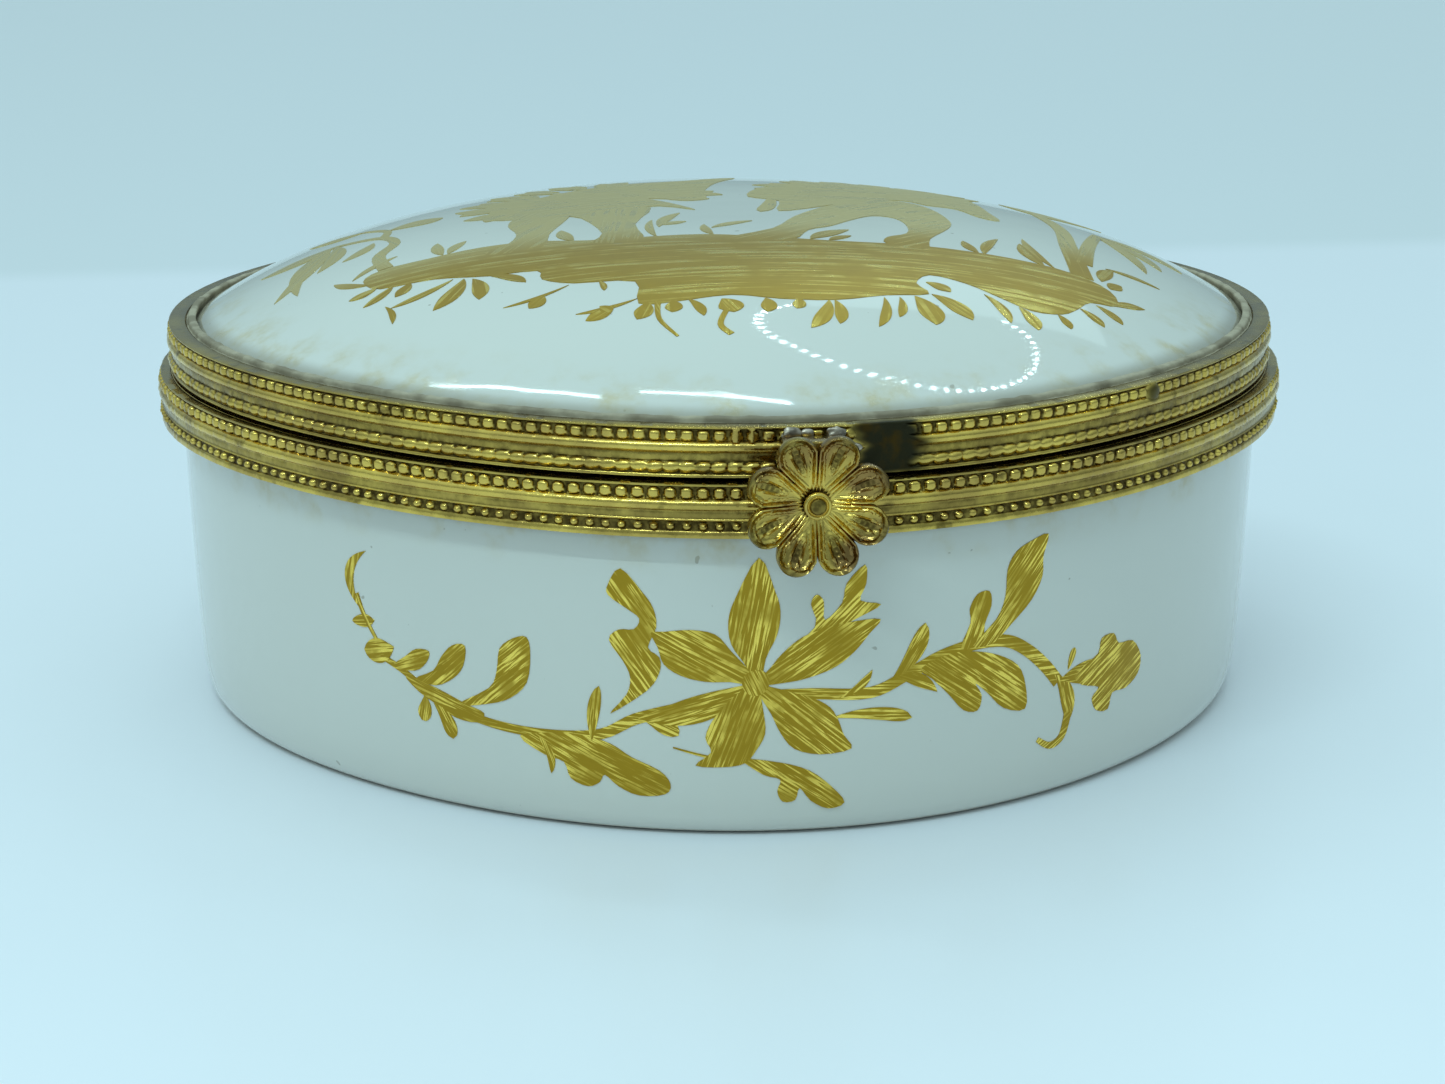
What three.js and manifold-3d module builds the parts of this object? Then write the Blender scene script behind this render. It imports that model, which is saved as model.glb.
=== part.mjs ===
// A nearly round porcelain trinket box: a straight-walled bowl and a shallow domed lid, each set
// in an embossed brass mount, with a hinge at the back and a daisy clasp at the front.
// Millimetres, +Z up. The origin is on the box's axis, at the surface that the box stands on.
// The clasp faces -Y and the hinge is at +Y.

import * as THREE from "three";
import { mergeVertices } from "three/addons/utils/BufferGeometryUtils.js";
import Module from "manifold-3d";

const wasm = await Module();
wasm.setup();

// ---- Driving dimensions ----

// The plan. Every radius in this file is measured towards the clasp. The outline is a circle
// whose four diagonal sides are pressed in a little, as on a ring bent up by hand.
const MOUNT_RADIUS = 45; // lower edge of the base band
const PLAN_FLATTENING = 0.027; // how far a diagonal side is pressed in, as a share of the radius
const PLAN_STEPS = 64;

// Heights above the table.
const BASE_BAND_BOTTOM = 22.8;
const BASE_BAND_TOP = 26.6;
const LID_BAND_BOTTOM = 26.9;
const LID_BAND_TOP = 30.45;
const DOME_TOP = 38.3;

// Porcelain.
const WALL_RADIUS = MOUNT_RADIUS - 2.1; // outside of the bowl under its mount
const WALL_TAPER = 0.8; // how much narrower the wall is at its foot
const WALL_THICKNESS = 2.8;
const FLOOR_THICKNESS = 3.2;
const FOOT_CORNER = 1.9; // rounding between the wall and the underside
const FOOT_RECESS = 0.7; // the underside is hollowed inside the foot ring
const FOOT_RING_WIDTH = 3.4;
const DOME_RADIUS = MOUNT_RADIUS - 3.2; // where the dome meets the cement
const DOME_SKIRT_RADIUS = DOME_RADIUS + 0.6;
const DOME_THICKNESS = 2.6;
const DOME_EXPONENT = 2.6; // 2 is a plain bowl shape; above 2 the top is flatter

// Brass.
const STRIP_THICKNESS = 0.6; // the embossed strips, without their mouldings
const SHEET = 0.4; // the collars' sheet
const LID_SET_BACK = 0.8; // the lid's mount is this much smaller than the base's
const MOULDING = 0.3; // how far the half-round stands out of a strip
const JOINT_GAP = 0.02; // parts that are cemented or soldered don't quite share a surface

// Hinge.
const KNUCKLE_RADIUS = 1.25;
const KNUCKLE_COUNT = 5;
const KNUCKLE_LENGTH = 3;
const KNUCKLE_GAP = 0.25;
const PIN_RADIUS = 0.45;
const PIN_PLAY = 0.05;
const HINGE_PLAY = 0.25; // between the knuckles and the base band
const SHELF_PLAY = 0.15; // between the knuckles and the plates' shelves
const SHELF_REACH = 1.2; // how far a shelf reaches past the hinge's axis
const CUT_GAP = 0.3; // between a plate and the band that it is shaped to

// Clasp.
const FLOWER_RADIUS = 5;
const FLOWER_HEIGHT = 25.7; // its centre above the table
const FLOWER_THICKNESS = 0.9;
const PETALS = 8;
const PETAL_NOTCH = 0.27; // depth of the notch between two petals, as a share of the radius
const BOSS_RADIUS = 0.95;
const BOSS_RISE = 0.45;
const TONGUE_WIDTH = 4.4;
const TONGUE_THICKNESS = 0.6;
const NIB_REACH = 0.5;

// ---- Derived places ----

const LID_RADIUS = MOUNT_RADIUS - LID_SET_BACK; // edges of the lid's strip
const HINGE_Y = MOUNT_RADIUS + MOULDING + HINGE_PLAY + KNUCKLE_RADIUS;
const HINGE_Z = (BASE_BAND_TOP + LID_BAND_BOTTOM) / 2;
const HINGE_WIDTH = KNUCKLE_COUNT * KNUCKLE_LENGTH + (KNUCKLE_COUNT - 1) * KNUCKLE_GAP;
const NIB_TIP_Y = -(MOUNT_RADIUS + MOULDING + NIB_REACH);
const TONGUE_BACK_Y = NIB_TIP_Y - 0.3;
const TONGUE_FRONT_Y = TONGUE_BACK_Y - TONGUE_THICKNESS;
const FLOWER_BACK_Y = TONGUE_FRONT_Y - 0.1;

// ---- Materials ----

const porcelain = () =>
  new THREE.MeshStandardMaterial({ color: 0xeef1ee, roughness: 0.12, metalness: 0 });
const cement = () =>
  new THREE.MeshStandardMaterial({ color: 0xa9a590, roughness: 0.9, metalness: 0 });
const brass = () =>
  new THREE.MeshStandardMaterial({ color: 0xa8893a, roughness: 0.35, metalness: 1 });
const steel = () =>
  new THREE.MeshStandardMaterial({ color: 0x9a9892, roughness: 0.4, metalness: 1 });

// ---- Shape helpers ----

// Points along an arc, angles in degrees.
function arc(centreX, centreY, radius, from, to, steps) {
  return Array.from({ length: steps + 1 }, (_, i) => {
    const angle = THREE.MathUtils.degToRad(from + ((to - from) * i) / steps);
    return [centreX + radius * Math.cos(angle), centreY + radius * Math.sin(angle)];
  });
}

// The plan's reach in a direction, as a share of its reach towards the clasp.
function planScale(x, y) {
  const pressed = (1 - Math.cos(4 * Math.atan2(y, x))) / 2;
  return 1 - PLAN_FLATTENING * pressed;
}

// A profile of [radius, height] points turned about the Z axis.
function turned(profile, steps) {
  const points = profile.map(([radius, height]) => new THREE.Vector2(radius, height));
  return new THREE.LatheGeometry(points, steps).rotateX(Math.PI / 2);
}

// The same, following the box's plan in place of a circle.
function followingPlan(profile) {
  const geometry = turned(profile, PLAN_STEPS);
  const place = geometry.getAttribute("position");
  for (let i = 0; i < place.count; i += 1) {
    const scale = planScale(place.getX(i), place.getY(i));
    place.setXY(i, place.getX(i) * scale, place.getY(i) * scale);
  }
  return geometry;
}

// A profile that closes on itself, for a ring.
const closed = (profile) => [...profile, profile[0]];

// A box between two corners.
function block([x0, y0, z0], [x1, y1, z1]) {
  return new THREE.BoxGeometry(x1 - x0, y1 - y0, z1 - z0).translate(
    (x0 + x1) / 2,
    (y0 + y1) / 2,
    (z0 + z1) / 2,
  );
}

function toManifold(geometry) {
  const bare = geometry.clone();
  bare.deleteAttribute("normal");
  bare.deleteAttribute("uv");
  const merged = mergeVertices(bare, 1e-4);
  return new wasm.Manifold(
    new wasm.Mesh({
      numProp: 3,
      vertProperties: new Float32Array(merged.getAttribute("position").array),
      triVerts: new Uint32Array(merged.index.array),
    }),
  );
}

function fromManifold(manifold) {
  const mesh = manifold.getMesh();
  const geometry = new THREE.BufferGeometry();
  geometry.setAttribute("position", new THREE.BufferAttribute(mesh.vertProperties, 3));
  geometry.setIndex(new THREE.BufferAttribute(mesh.triVerts, 1));
  geometry.computeVertexNormals();
  return geometry;
}

function piece(name, geometry, material) {
  const mesh = new THREE.Mesh(geometry, material);
  mesh.name = name;
  return mesh;
}

// ---- Porcelain ----

function baseBowl() {
  const footRadius = WALL_RADIUS - WALL_TAPER;
  const ringOuter = footRadius - FOOT_CORNER;
  const ringInner = ringOuter - FOOT_RING_WIDTH;
  const rimHeight = BASE_BAND_TOP - SHEET - 0.2;
  const innerFoot = footRadius - WALL_THICKNESS;
  const innerCorner = 5;
  const profile = [
    [0, FOOT_RECESS],
    [ringInner - FOOT_RECESS, FOOT_RECESS],
    [ringInner, 0],
    ...arc(ringOuter, FOOT_CORNER, FOOT_CORNER, -90, 0, 4),
    [WALL_RADIUS, BASE_BAND_BOTTOM - 0.4],
    [WALL_RADIUS, rimHeight],
    [WALL_RADIUS - WALL_THICKNESS, rimHeight],
    ...arc(innerFoot - innerCorner, FLOOR_THICKNESS + innerCorner, innerCorner, 0, -90, 4),
    [0, FLOOR_THICKNESS],
  ];
  return piece("base_bowl", followingPlan(profile), porcelain());
}

// Points down a dome from its top to its edge.
function domeLine(top, edgeRadius, edgeHeight, steps) {
  return Array.from({ length: steps + 1 }, (_, i) => {
    const share = (i / steps) ** 0.75;
    return [
      edgeRadius * share,
      edgeHeight + (top - edgeHeight) * (1 - share ** DOME_EXPONENT),
    ];
  });
}

function lidDome() {
  const rimHeight = LID_BAND_BOTTOM + SHEET;
  const edge = LID_BAND_TOP + 0.15;
  const innerRadius = DOME_SKIRT_RADIUS - DOME_THICKNESS;
  const outside = domeLine(DOME_TOP, DOME_RADIUS, edge, 7);
  const inside = domeLine(DOME_TOP - DOME_THICKNESS, innerRadius, edge - 2, 5);
  const profile = [
    ...inside,
    [innerRadius, rimHeight],
    [DOME_SKIRT_RADIUS, rimHeight],
    [DOME_SKIRT_RADIUS, edge - 0.7],
    ...outside.reverse(),
  ];
  return piece("lid_dome", followingPlan(profile), porcelain());
}

// ---- Cement ----

function baseCement() {
  const inner = WALL_RADIUS + JOINT_GAP;
  const outer = MOUNT_RADIUS - STRIP_THICKNESS - JOINT_GAP;
  const bottom = BASE_BAND_BOTTOM + 0.2;
  const top = BASE_BAND_TOP - SHEET - JOINT_GAP;
  const profile = closed([
    [inner, bottom],
    [outer, bottom],
    [outer, top],
    [inner, top],
  ]);
  return piece("base_cement", followingPlan(profile), cement());
}

function lidCement() {
  const inner = DOME_SKIRT_RADIUS + JOINT_GAP;
  const outer = LID_RADIUS - STRIP_THICKNESS - JOINT_GAP;
  const shoulder = LID_BAND_TOP - SHEET - JOINT_GAP;
  const lip = LID_RADIUS - 2 * STRIP_THICKNESS - JOINT_GAP;
  const profile = closed([
    [inner, LID_BAND_BOTTOM + 1],
    [outer, LID_BAND_BOTTOM + 1],
    [outer, shoulder],
    [lip, shoulder],
    [lip, LID_BAND_TOP],
    [DOME_RADIUS + 0.1, LID_BAND_TOP + 0.2],
    [inner, LID_BAND_TOP - 0.5],
  ]);
  return piece("lid_cement", followingPlan(profile), cement());
}

// ---- Brass mounts ----

// The outside of an embossed strip from its top edge down: a bead row, a half-round, a cove and
// a smaller bead row. Heights are shares of the strip's height.
function stripFace(edgeRadius, bottom, top) {
  const height = top - bottom;
  const shares = [
    [0, 0],
    [0.08, 0.5],
    [0.24, 0.5],
    [0.32, 1],
    [0.44, 1],
    [0.5, -0.2],
    [0.62, -0.2],
    [0.7, 0.4],
    [0.88, 0.4],
    [1, 0],
  ];
  return shares.map(([down, out]) => [edgeRadius + out * MOULDING, top - down * height]);
}

function baseBand() {
  const inner = MOUNT_RADIUS - STRIP_THICKNESS;
  const face = stripFace(MOUNT_RADIUS, BASE_BAND_BOTTOM, BASE_BAND_TOP).reverse();
  const profile = closed([[inner, BASE_BAND_BOTTOM], ...face, [inner, BASE_BAND_TOP]]);
  return piece("base_band", followingPlan(profile), brass());
}

// The lid's strip is also folded inwards along its top edge.
function lidBand() {
  const inner = LID_RADIUS - STRIP_THICKNESS;
  const face = stripFace(LID_RADIUS, LID_BAND_BOTTOM, LID_BAND_TOP).reverse();
  const profile = closed([
    [inner, LID_BAND_BOTTOM],
    ...face,
    [inner - STRIP_THICKNESS, LID_BAND_TOP],
    [inner - STRIP_THICKNESS, LID_BAND_TOP - SHEET],
    [inner, LID_BAND_TOP - SHEET],
  ]);
  return piece("lid_band", followingPlan(profile), brass());
}

// An L-section rim: a flat flange across the porcelain's edge, and a skirt that lines its inside.
// A collar for the base has its flange on top, and one for the lid has it below.
function collar(name, flangeOuter, flangeHeight, skirtInner, skirtDepth, up) {
  const sheet = up * SHEET;
  const profile = closed([
    [skirtInner, flangeHeight],
    [flangeOuter, flangeHeight],
    [flangeOuter, flangeHeight + sheet],
    [skirtInner + SHEET, flangeHeight + sheet],
    [skirtInner + SHEET, flangeHeight + up * skirtDepth],
    [skirtInner, flangeHeight + up * skirtDepth],
  ]);
  return piece(name, followingPlan(up > 0 ? profile : profile.reverse()), brass());
}

function baseCollar() {
  const flangeOuter = MOUNT_RADIUS - STRIP_THICKNESS - JOINT_GAP;
  const skirtInner = WALL_RADIUS - WALL_THICKNESS - SHEET - 0.3;
  return collar("base_collar", flangeOuter, BASE_BAND_TOP, skirtInner, 2.4, -1);
}

function lidCollar() {
  const flangeOuter = LID_RADIUS - STRIP_THICKNESS - JOINT_GAP;
  const skirtInner = DOME_SKIRT_RADIUS - DOME_THICKNESS - SHEET - 0.3;
  return collar("lid_collar", flangeOuter, LID_BAND_BOTTOM, skirtInner, 1.4, 1);
}

// ---- Hinge ----

// A leaf shaped to the outside of a band, with a shelf that reaches over or under the knuckles.
// The two shelves' edges meet, and stop the lid, when it is open a little past upright.
function hingePlate(name, bandRadius, leafEnd, up) {
  const half = HINGE_WIDTH / 2;
  const shelf = HINGE_Z + up * (KNUCKLE_RADIUS + SHELF_PLAY);
  const between = (a, b) => [Math.min(a, b), Math.max(a, b)];
  const [leafLow, leafHigh] = between(leafEnd, shelf);
  const [shelfLow, shelfHigh] = between(shelf, shelf + up * STRIP_THICKNESS);
  const inside = bandRadius - 4;
  const leaf = block([-half, inside, leafLow], [half, HINGE_Y - 0.4, leafHigh]);
  const ledge = block([-half, inside, shelfLow], [half, HINGE_Y + SHELF_REACH, shelfHigh]);
  const bandSpace = followingPlan([
    [0, leafLow - 1],
    [bandRadius + MOULDING + CUT_GAP, leafLow - 1],
    [bandRadius + MOULDING + CUT_GAP, leafHigh + 1],
    [0, leafHigh + 1],
  ]);
  const plate = toManifold(leaf).add(toManifold(ledge)).subtract(toManifold(bandSpace));
  return piece(name, fromManifold(plate), brass());
}

const KNUCKLE_NAMES = [
  "base_knuckle_left",
  "lid_knuckle_left",
  "base_knuckle_centre",
  "lid_knuckle_right",
  "base_knuckle_right",
];

function knuckle(index) {
  const bore = PIN_RADIUS + PIN_PLAY;
  const half = KNUCKLE_LENGTH / 2;
  const profile = closed([
    [bore, -half],
    [KNUCKLE_RADIUS, -half],
    [KNUCKLE_RADIUS, half],
    [bore, half],
  ]);
  const mesh = piece(KNUCKLE_NAMES[index], turned(profile, 20).rotateY(Math.PI / 2), brass());
  const middle = (KNUCKLE_COUNT - 1) / 2;
  mesh.position.set((index - middle) * (KNUCKLE_LENGTH + KNUCKLE_GAP), HINGE_Y, HINGE_Z);
  return mesh;
}

function hingePin() {
  const half = HINGE_WIDTH / 2 + 0.35;
  const rod = new THREE.CylinderGeometry(PIN_RADIUS, PIN_RADIUS, 2 * half, 16);
  const mesh = piece("hinge_pin", rod.rotateZ(Math.PI / 2), steel());
  mesh.position.set(0, HINGE_Y, HINGE_Z);
  return mesh;
}

// ---- Clasp ----

function claspTongue() {
  const half = TONGUE_WIDTH / 2;
  const rootBack = -(LID_RADIUS + MOULDING + 0.15);
  const top = LID_BAND_TOP - 0.55;
  const rootBottom = top - 2.3;
  const tip = FLOWER_HEIGHT - FLOWER_RADIUS * 0.7;
  const plate = block([-half, TONGUE_FRONT_Y, tip], [half, TONGUE_BACK_Y, top]);
  const root = block([-half, TONGUE_FRONT_Y, rootBottom], [half, rootBack, top]);
  const tongue = toManifold(plate).add(toManifold(root));
  return piece("clasp_tongue", fromManifold(tongue), brass());
}

// The catch on the base band that the tongue springs over.
function catchNib() {
  const steps = 8;
  const radius = 0.9;
  const back = -(MOUNT_RADIUS + MOULDING + JOINT_GAP);
  const outline = new THREE.Shape(
    arc(0, 0, radius, 0, 180, steps).map(([x, y]) => new THREE.Vector2(x, y)),
  );
  const depth = back - NIB_TIP_Y;
  const geometry = new THREE.ExtrudeGeometry(outline, { depth, bevelEnabled: false });
  const mesh = piece("catch_nib", geometry.rotateX(Math.PI / 2), brass());
  mesh.position.set(0, back, BASE_BAND_BOTTOM + 1.7);
  return mesh;
}

// One lobe for each petal. The petals stand either side of the vertical, not on it.
function flowerOutline() {
  const steps = PETALS * 8;
  const points = Array.from({ length: steps }, (_, i) => {
    const angle = (i / steps) * 2 * Math.PI;
    const lobe = Math.abs(Math.sin((PETALS / 2) * angle)) ** 0.7;
    const radius = FLOWER_RADIUS * (1 - PETAL_NOTCH * (1 - lobe));
    return new THREE.Vector2(radius * Math.cos(angle), radius * Math.sin(angle));
  });
  return new THREE.Shape(points);
}

function claspFlower() {
  const geometry = new THREE.ExtrudeGeometry(flowerOutline(), {
    depth: FLOWER_THICKNESS,
    bevelEnabled: false,
  });
  const mesh = piece("clasp_flower", geometry.rotateX(Math.PI / 2), brass());
  mesh.position.set(0, FLOWER_BACK_Y, FLOWER_HEIGHT);
  return mesh;
}

function claspBoss() {
  const profile = [
    [0, 0],
    [BOSS_RADIUS, 0],
    [BOSS_RADIUS, BOSS_RISE * 0.4],
    [BOSS_RADIUS * 0.7, BOSS_RISE * 0.85],
    [0, BOSS_RISE],
  ];
  const mesh = piece("clasp_boss", turned(profile, 16).rotateX(Math.PI / 2), brass());
  mesh.position.set(0, FLOWER_BACK_Y - FLOWER_THICKNESS - JOINT_GAP, FLOWER_HEIGHT);
  return mesh;
}

// ---- The box ----

const baseHingePlate = () =>
  hingePlate("base_hinge_plate", MOUNT_RADIUS, BASE_BAND_BOTTOM + 0.2, -1);
const lidHingePlate = () =>
  hingePlate("lid_hinge_plate", LID_RADIUS, LID_BAND_TOP - 0.2, 1);

const isOnLid = (name) => name.startsWith("lid");
const knuckles = KNUCKLE_NAMES.map((_, index) => knuckle(index));

const base = new THREE.Group();
base.add(baseBowl(), baseCement(), baseBand(), baseCollar(), catchNib());
base.add(baseHingePlate(), hingePin(), ...knuckles.filter(({ name }) => !isOnLid(name)));

const clasp = new THREE.Group();
clasp.add(claspTongue(), claspFlower(), claspBoss());

const lid = new THREE.Group();
lid.add(lidDome(), lidCement(), lidBand(), lidCollar(), lidHingePlate());
lid.add(...knuckles.filter(({ name }) => isOnLid(name)), clasp);

const box = new THREE.Group();
box.add(base, lid);

export default box;
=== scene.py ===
"""The looks of a porcelain trinket box in embossed brass mounts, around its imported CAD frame.

Lengths are in millimetres until a piece is made. The box stands on the floor at the origin, its
clasp faces -Y and its hinge is at +Y. An angle round the box is measured from the clasp
towards +X, and "along" is the same as a distance on a ring or a wall.
"""

import functools
import math

import bmesh
import bpy
import numpy as np
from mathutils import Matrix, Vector, noise
from mathutils.geometry import delaunay_2d_cdt


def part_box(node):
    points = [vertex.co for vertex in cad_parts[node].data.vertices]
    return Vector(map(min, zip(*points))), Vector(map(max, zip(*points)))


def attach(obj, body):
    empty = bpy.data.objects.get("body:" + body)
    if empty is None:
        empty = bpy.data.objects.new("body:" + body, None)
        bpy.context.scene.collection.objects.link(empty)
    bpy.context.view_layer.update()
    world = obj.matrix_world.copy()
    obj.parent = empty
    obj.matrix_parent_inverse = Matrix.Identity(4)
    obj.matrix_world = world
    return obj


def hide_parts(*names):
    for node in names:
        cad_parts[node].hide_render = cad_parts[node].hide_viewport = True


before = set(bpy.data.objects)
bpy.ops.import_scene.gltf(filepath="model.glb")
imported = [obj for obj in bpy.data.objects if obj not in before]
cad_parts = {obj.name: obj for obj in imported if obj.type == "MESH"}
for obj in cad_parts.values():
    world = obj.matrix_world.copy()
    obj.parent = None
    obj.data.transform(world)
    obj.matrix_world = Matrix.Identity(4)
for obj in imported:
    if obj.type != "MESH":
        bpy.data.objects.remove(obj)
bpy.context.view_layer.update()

MM = 0.001


def corners(node):
    """A CAD node's lowest and highest corner, in millimetres."""
    low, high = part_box(node)
    return low / MM, high / MM


# ---- Sizes ----

PLAN_FLATTENING = 0.027  # the plan's four diagonal sides are pressed in by this share
RELIEF = 0.3  # how far the CAD strips' mouldings stand out

# Porcelain.
BOWL_HIGH = corners("base_bowl")[1]
DOME_LOW, DOME_HIGH = corners("lid_dome")
WALL_RADIUS = BOWL_HIGH.x
FOOT_RADIUS = WALL_RADIUS - 0.8
BODY_RADIUS = WALL_RADIUS + 0.65  # the wall just below its mount
WALL_CURVE = 0.45  # a lower one widens the wall sooner above its foot
WALL_THICKNESS = 2.8
FLOOR_TOP = 3.2
FOOT_CORNER = 1.9
FOOT_RING_WIDTH = 3.4
FOOT_RING_HEIGHT = 0.7
DOME_SKIRT_RADIUS = DOME_HIGH.x
DOME_RADIUS = DOME_SKIRT_RADIUS - 0.6
DOME_THICKNESS = 2.6
DOME_EXPONENT = 3.3  # a higher one makes the shoulder fuller

# Brass mounts.
BASE_STRIP_LOW, BASE_STRIP_HIGH = corners("base_band")
LID_STRIP_LOW, LID_STRIP_HIGH = corners("lid_band")
BASE_RADIUS = BASE_STRIP_HIGH.x - RELIEF
LID_RADIUS = LID_STRIP_HIGH.x - RELIEF
STRIP_THICKNESS = 0.6
SHEET = 0.4
BEADS = 248
BEAD_SEED = 7  # for the beads' uneven heights
STEPS_PER_BEAD = 10
STRIP_ROWS = 58
DOME_EDGE = LID_STRIP_HIGH.z + 0.15  # where the dome comes out of its mount

# Old repairs of the lid's strip, by their distance along it from the clasp.
BARS = ((-5.05, 0.3, 0.42), (-3.95, 0.22, 0.4))  # place, half width and height
FILED = (3.2, 7.3)
CHARRED = (3.3, 8.2)
BLOB = 29.7

# Clasp.
FLOWER_LOW, FLOWER_HIGH = corners("clasp_flower")
FLOWER_CENTRE = (FLOWER_LOW + FLOWER_HIGH) / 2
FLOWER_AXIS = np.array([FLOWER_CENTRE.x, 0, FLOWER_CENTRE.z])
PETALS = 8
LOBE_CENTRE = 3.7  # a petal's tip is a lobe with this centre and radius
LOBE_RADIUS = 1.42
DAISY_HOLE = 0.5  # hidden under the boss
PETAL_RIDGES = ((0.14, 0.13, 0.24), (0.46, 0.12, 0.14))  # from the edge, half width, height
SPOON_CENTRE = 3.55
SPOON_DEPTH = 0.16

# Hinge.
KNUCKLES = {
    "base": ("base_knuckle_left", "base_knuckle_centre", "base_knuckle_right"),
    "lid": ("lid_knuckle_left", "lid_knuckle_right"),
}

# ---- Looks, with colours as linear RGB ----

GLAZE_ROUGHNESS = 0.045

PORCELAIN = (0.665, 0.655, 0.585)
STAIN = (0.52, 0.40, 0.16)
OLD_LINE = (0.26, 0.22, 0.14)
BISQUE = (0.62, 0.56, 0.46)
BRASS_BRIGHT = (0.75, 0.525, 0.115)
BRASS_DULL = (0.32, 0.21, 0.05)
# the colour of painted shade in brass hollows, of dirt spots, and part of the char
BRASS_DARK = (0.06, 0.036, 0.009)
TARNISH = (0.30, 0.165, 0.06)
BURNT = (0.030, 0.027, 0.014)
GOLD_FIELD = (0.47, 0.285, 0.025)
GOLD_STROKE = (1.0, 0.72, 0.13)
GOLD_WORN = (0.66, 0.47, 0.09)
GOLD_THIN = (0.80, 0.69, 0.36)
CEMENT = (0.34, 0.29, 0.20)
GRIME = (0.20, 0.16, 0.10)
SOLDER = (0.44, 0.36, 0.28)
STEEL = (0.30, 0.29, 0.27)
FLOOR = (0.86, 0.865, 0.90)
BACKDROP = (0.76, 0.785, 0.80)
LIGHT = (0.65, 0.925, 1.0)

# ---- The plan ----


def plan(angle):
    """The plan's reach at an angle, as a share of its reach towards the clasp."""
    return 1 - PLAN_FLATTENING * (1 - np.cos(4 * angle)) / 2


def around(radius, angle, height):
    """Points at a radius, an angle from the clasp and a height, following the plan."""
    reach = radius * plan(angle)
    height = np.broadcast_to(height, np.shape(reach))
    return np.stack([reach * np.sin(angle), -reach * np.cos(angle), height], axis=-1)


def wall_radius(height):
    """The bowl's outside, above its rounded foot and below its mount."""
    share = np.clip(height / BASE_STRIP_LOW.z, 0, 1)
    return FOOT_RADIUS + (BODY_RADIUS - FOOT_RADIUS) * share**WALL_CURVE


def dome_height(share, top, edge):
    """The height of a dome, at a share of the way from its axis to its edge."""
    return edge + (top - edge) * (1 - share**DOME_EXPONENT)


# ---- Making pieces ----


def in_scene(name, data):
    """A new object that holds a mesh, a light or a camera."""
    made = bpy.data.objects.new(name, data)
    bpy.context.scene.collection.objects.link(made)
    return made


def piece(name, points, faces, material, body, slot, replaces=(), sharp_angle=38, **marks):
    """A mesh from points in millimetres. A mark is one number, or one per point, for materials."""
    points = np.reshape(points, (-1, 3))
    mesh = bpy.data.meshes.new(name)
    mesh.from_pydata((points * MM).tolist(), [], faces)
    for mark, values in marks.items():
        layer = mesh.attributes.new(mark, "FLOAT", "POINT")
        layer.data.foreach_set("value", np.float32(np.ravel(values) * np.ones(len(points))))
    mesh.validate()
    mesh.shade_smooth()
    mesh.set_sharp_from_angle(angle=math.radians(sharp_angle))
    mesh.materials.append(material)
    made = in_scene(name, mesh)
    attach(made, body)
    if replaces:
        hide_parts(*replaces)
    return made


def corner_arc(before, here, after, size, steps=6):
    """Points round a corner between two neighbours."""
    to_last = (before - here) / np.linalg.norm(before - here)
    to_next = (after - here) / np.linalg.norm(after - here)
    turn = math.pi - math.acos(np.clip(to_last @ to_next, -1, 1))
    back = size * math.tan(turn / 2)
    start, end = here + to_last * back, here + to_next * back
    shares = np.linspace(0, 1, steps)
    return [(1 - t) ** 2 * start + 2 * t * (1 - t) * here + t**2 * end for t in shares]


def rounded(outline, closed=False, longest=1.2):
    """Points along a line of (radius, height, corner radius), with no step above the longest."""
    count = len(outline)
    places = [np.array(corner[:2], float) for corner in outline]
    line = []
    for i, (here, (_, _, size)) in enumerate(zip(places, outline)):
        if size == 0 or (not closed and i in (0, count - 1)):
            line.append(here)
        else:
            line += corner_arc(places[i - 1], here, places[(i + 1) % count], size)
    ends = [*line[1:], line[0]] if closed else line[1:]
    points = []
    for start, end in zip(line, ends):
        steps = max(1, math.ceil(np.linalg.norm(end - start) / longest))
        points += [start + (end - start) * k / steps for k in range(steps)]
    if not closed:
        points.append(line[-1])
    return np.array(points)


def grid_faces(rows, columns, wrap_columns=True):
    """Quads over rows of points that close round on themselves, and perhaps columns too."""
    row, column = np.meshgrid(
        np.arange(rows), np.arange(columns if wrap_columns else columns - 1), indexing="ij"
    )
    next_row, next_column = (row + 1) % rows, (column + 1) % columns
    corners_of = [(row, column), (row, next_column), (next_row, next_column), (next_row, column)]
    faces = np.stack([r * columns + c for r, c in corners_of], axis=-1)
    return faces.reshape(-1, 4).tolist()


def turned(steps):
    """The angles of a full turn in equal steps, as a column."""
    return np.arange(steps)[:, None] * 2 * np.pi / steps


def ring(profile, steps=288):
    """Points and faces of a closed profile, listed clockwise, swept round the plan."""
    angle = turned(steps)
    points = around(profile[None, :, 0], angle, profile[None, :, 1])
    return points.reshape(-1, 3), grid_faces(steps, len(profile))


def vessel(profile, steps=288, follows_plan=True):
    """The same for a profile that starts and ends on the axis."""
    angle = turned(steps)
    inner = profile[1:-1]
    reach = inner[None, :, 0] * (plan(angle) if follows_plan else angle**0)
    flat = [reach * np.sin(angle), -reach * np.cos(angle)]
    points = np.stack([*flat, np.broadcast_to(inner[None, :, 1], reach.shape)], axis=-1)
    points = np.vstack([points.reshape(-1, 3), [[0, 0, profile[0, 1]], [0, 0, profile[-1, 1]]]])
    columns = len(inner)
    faces = grid_faces(steps, columns, wrap_columns=False)
    first, last = steps * columns, steps * columns + 1
    for i in range(steps):
        here, beyond = i * columns, (i + 1) % steps * columns
        faces.append([first, here, beyond])
        faces.append([last, beyond + columns - 1, here + columns - 1])
    return points, faces


def profile_mark(values, steps=288):
    """A mark for every point of a vessel, from its values along the profile."""
    values = np.asarray(values, float)
    return np.concatenate([np.tile(values[1:-1], steps), values[[0, -1]]])


# ---- Materials ----


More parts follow.
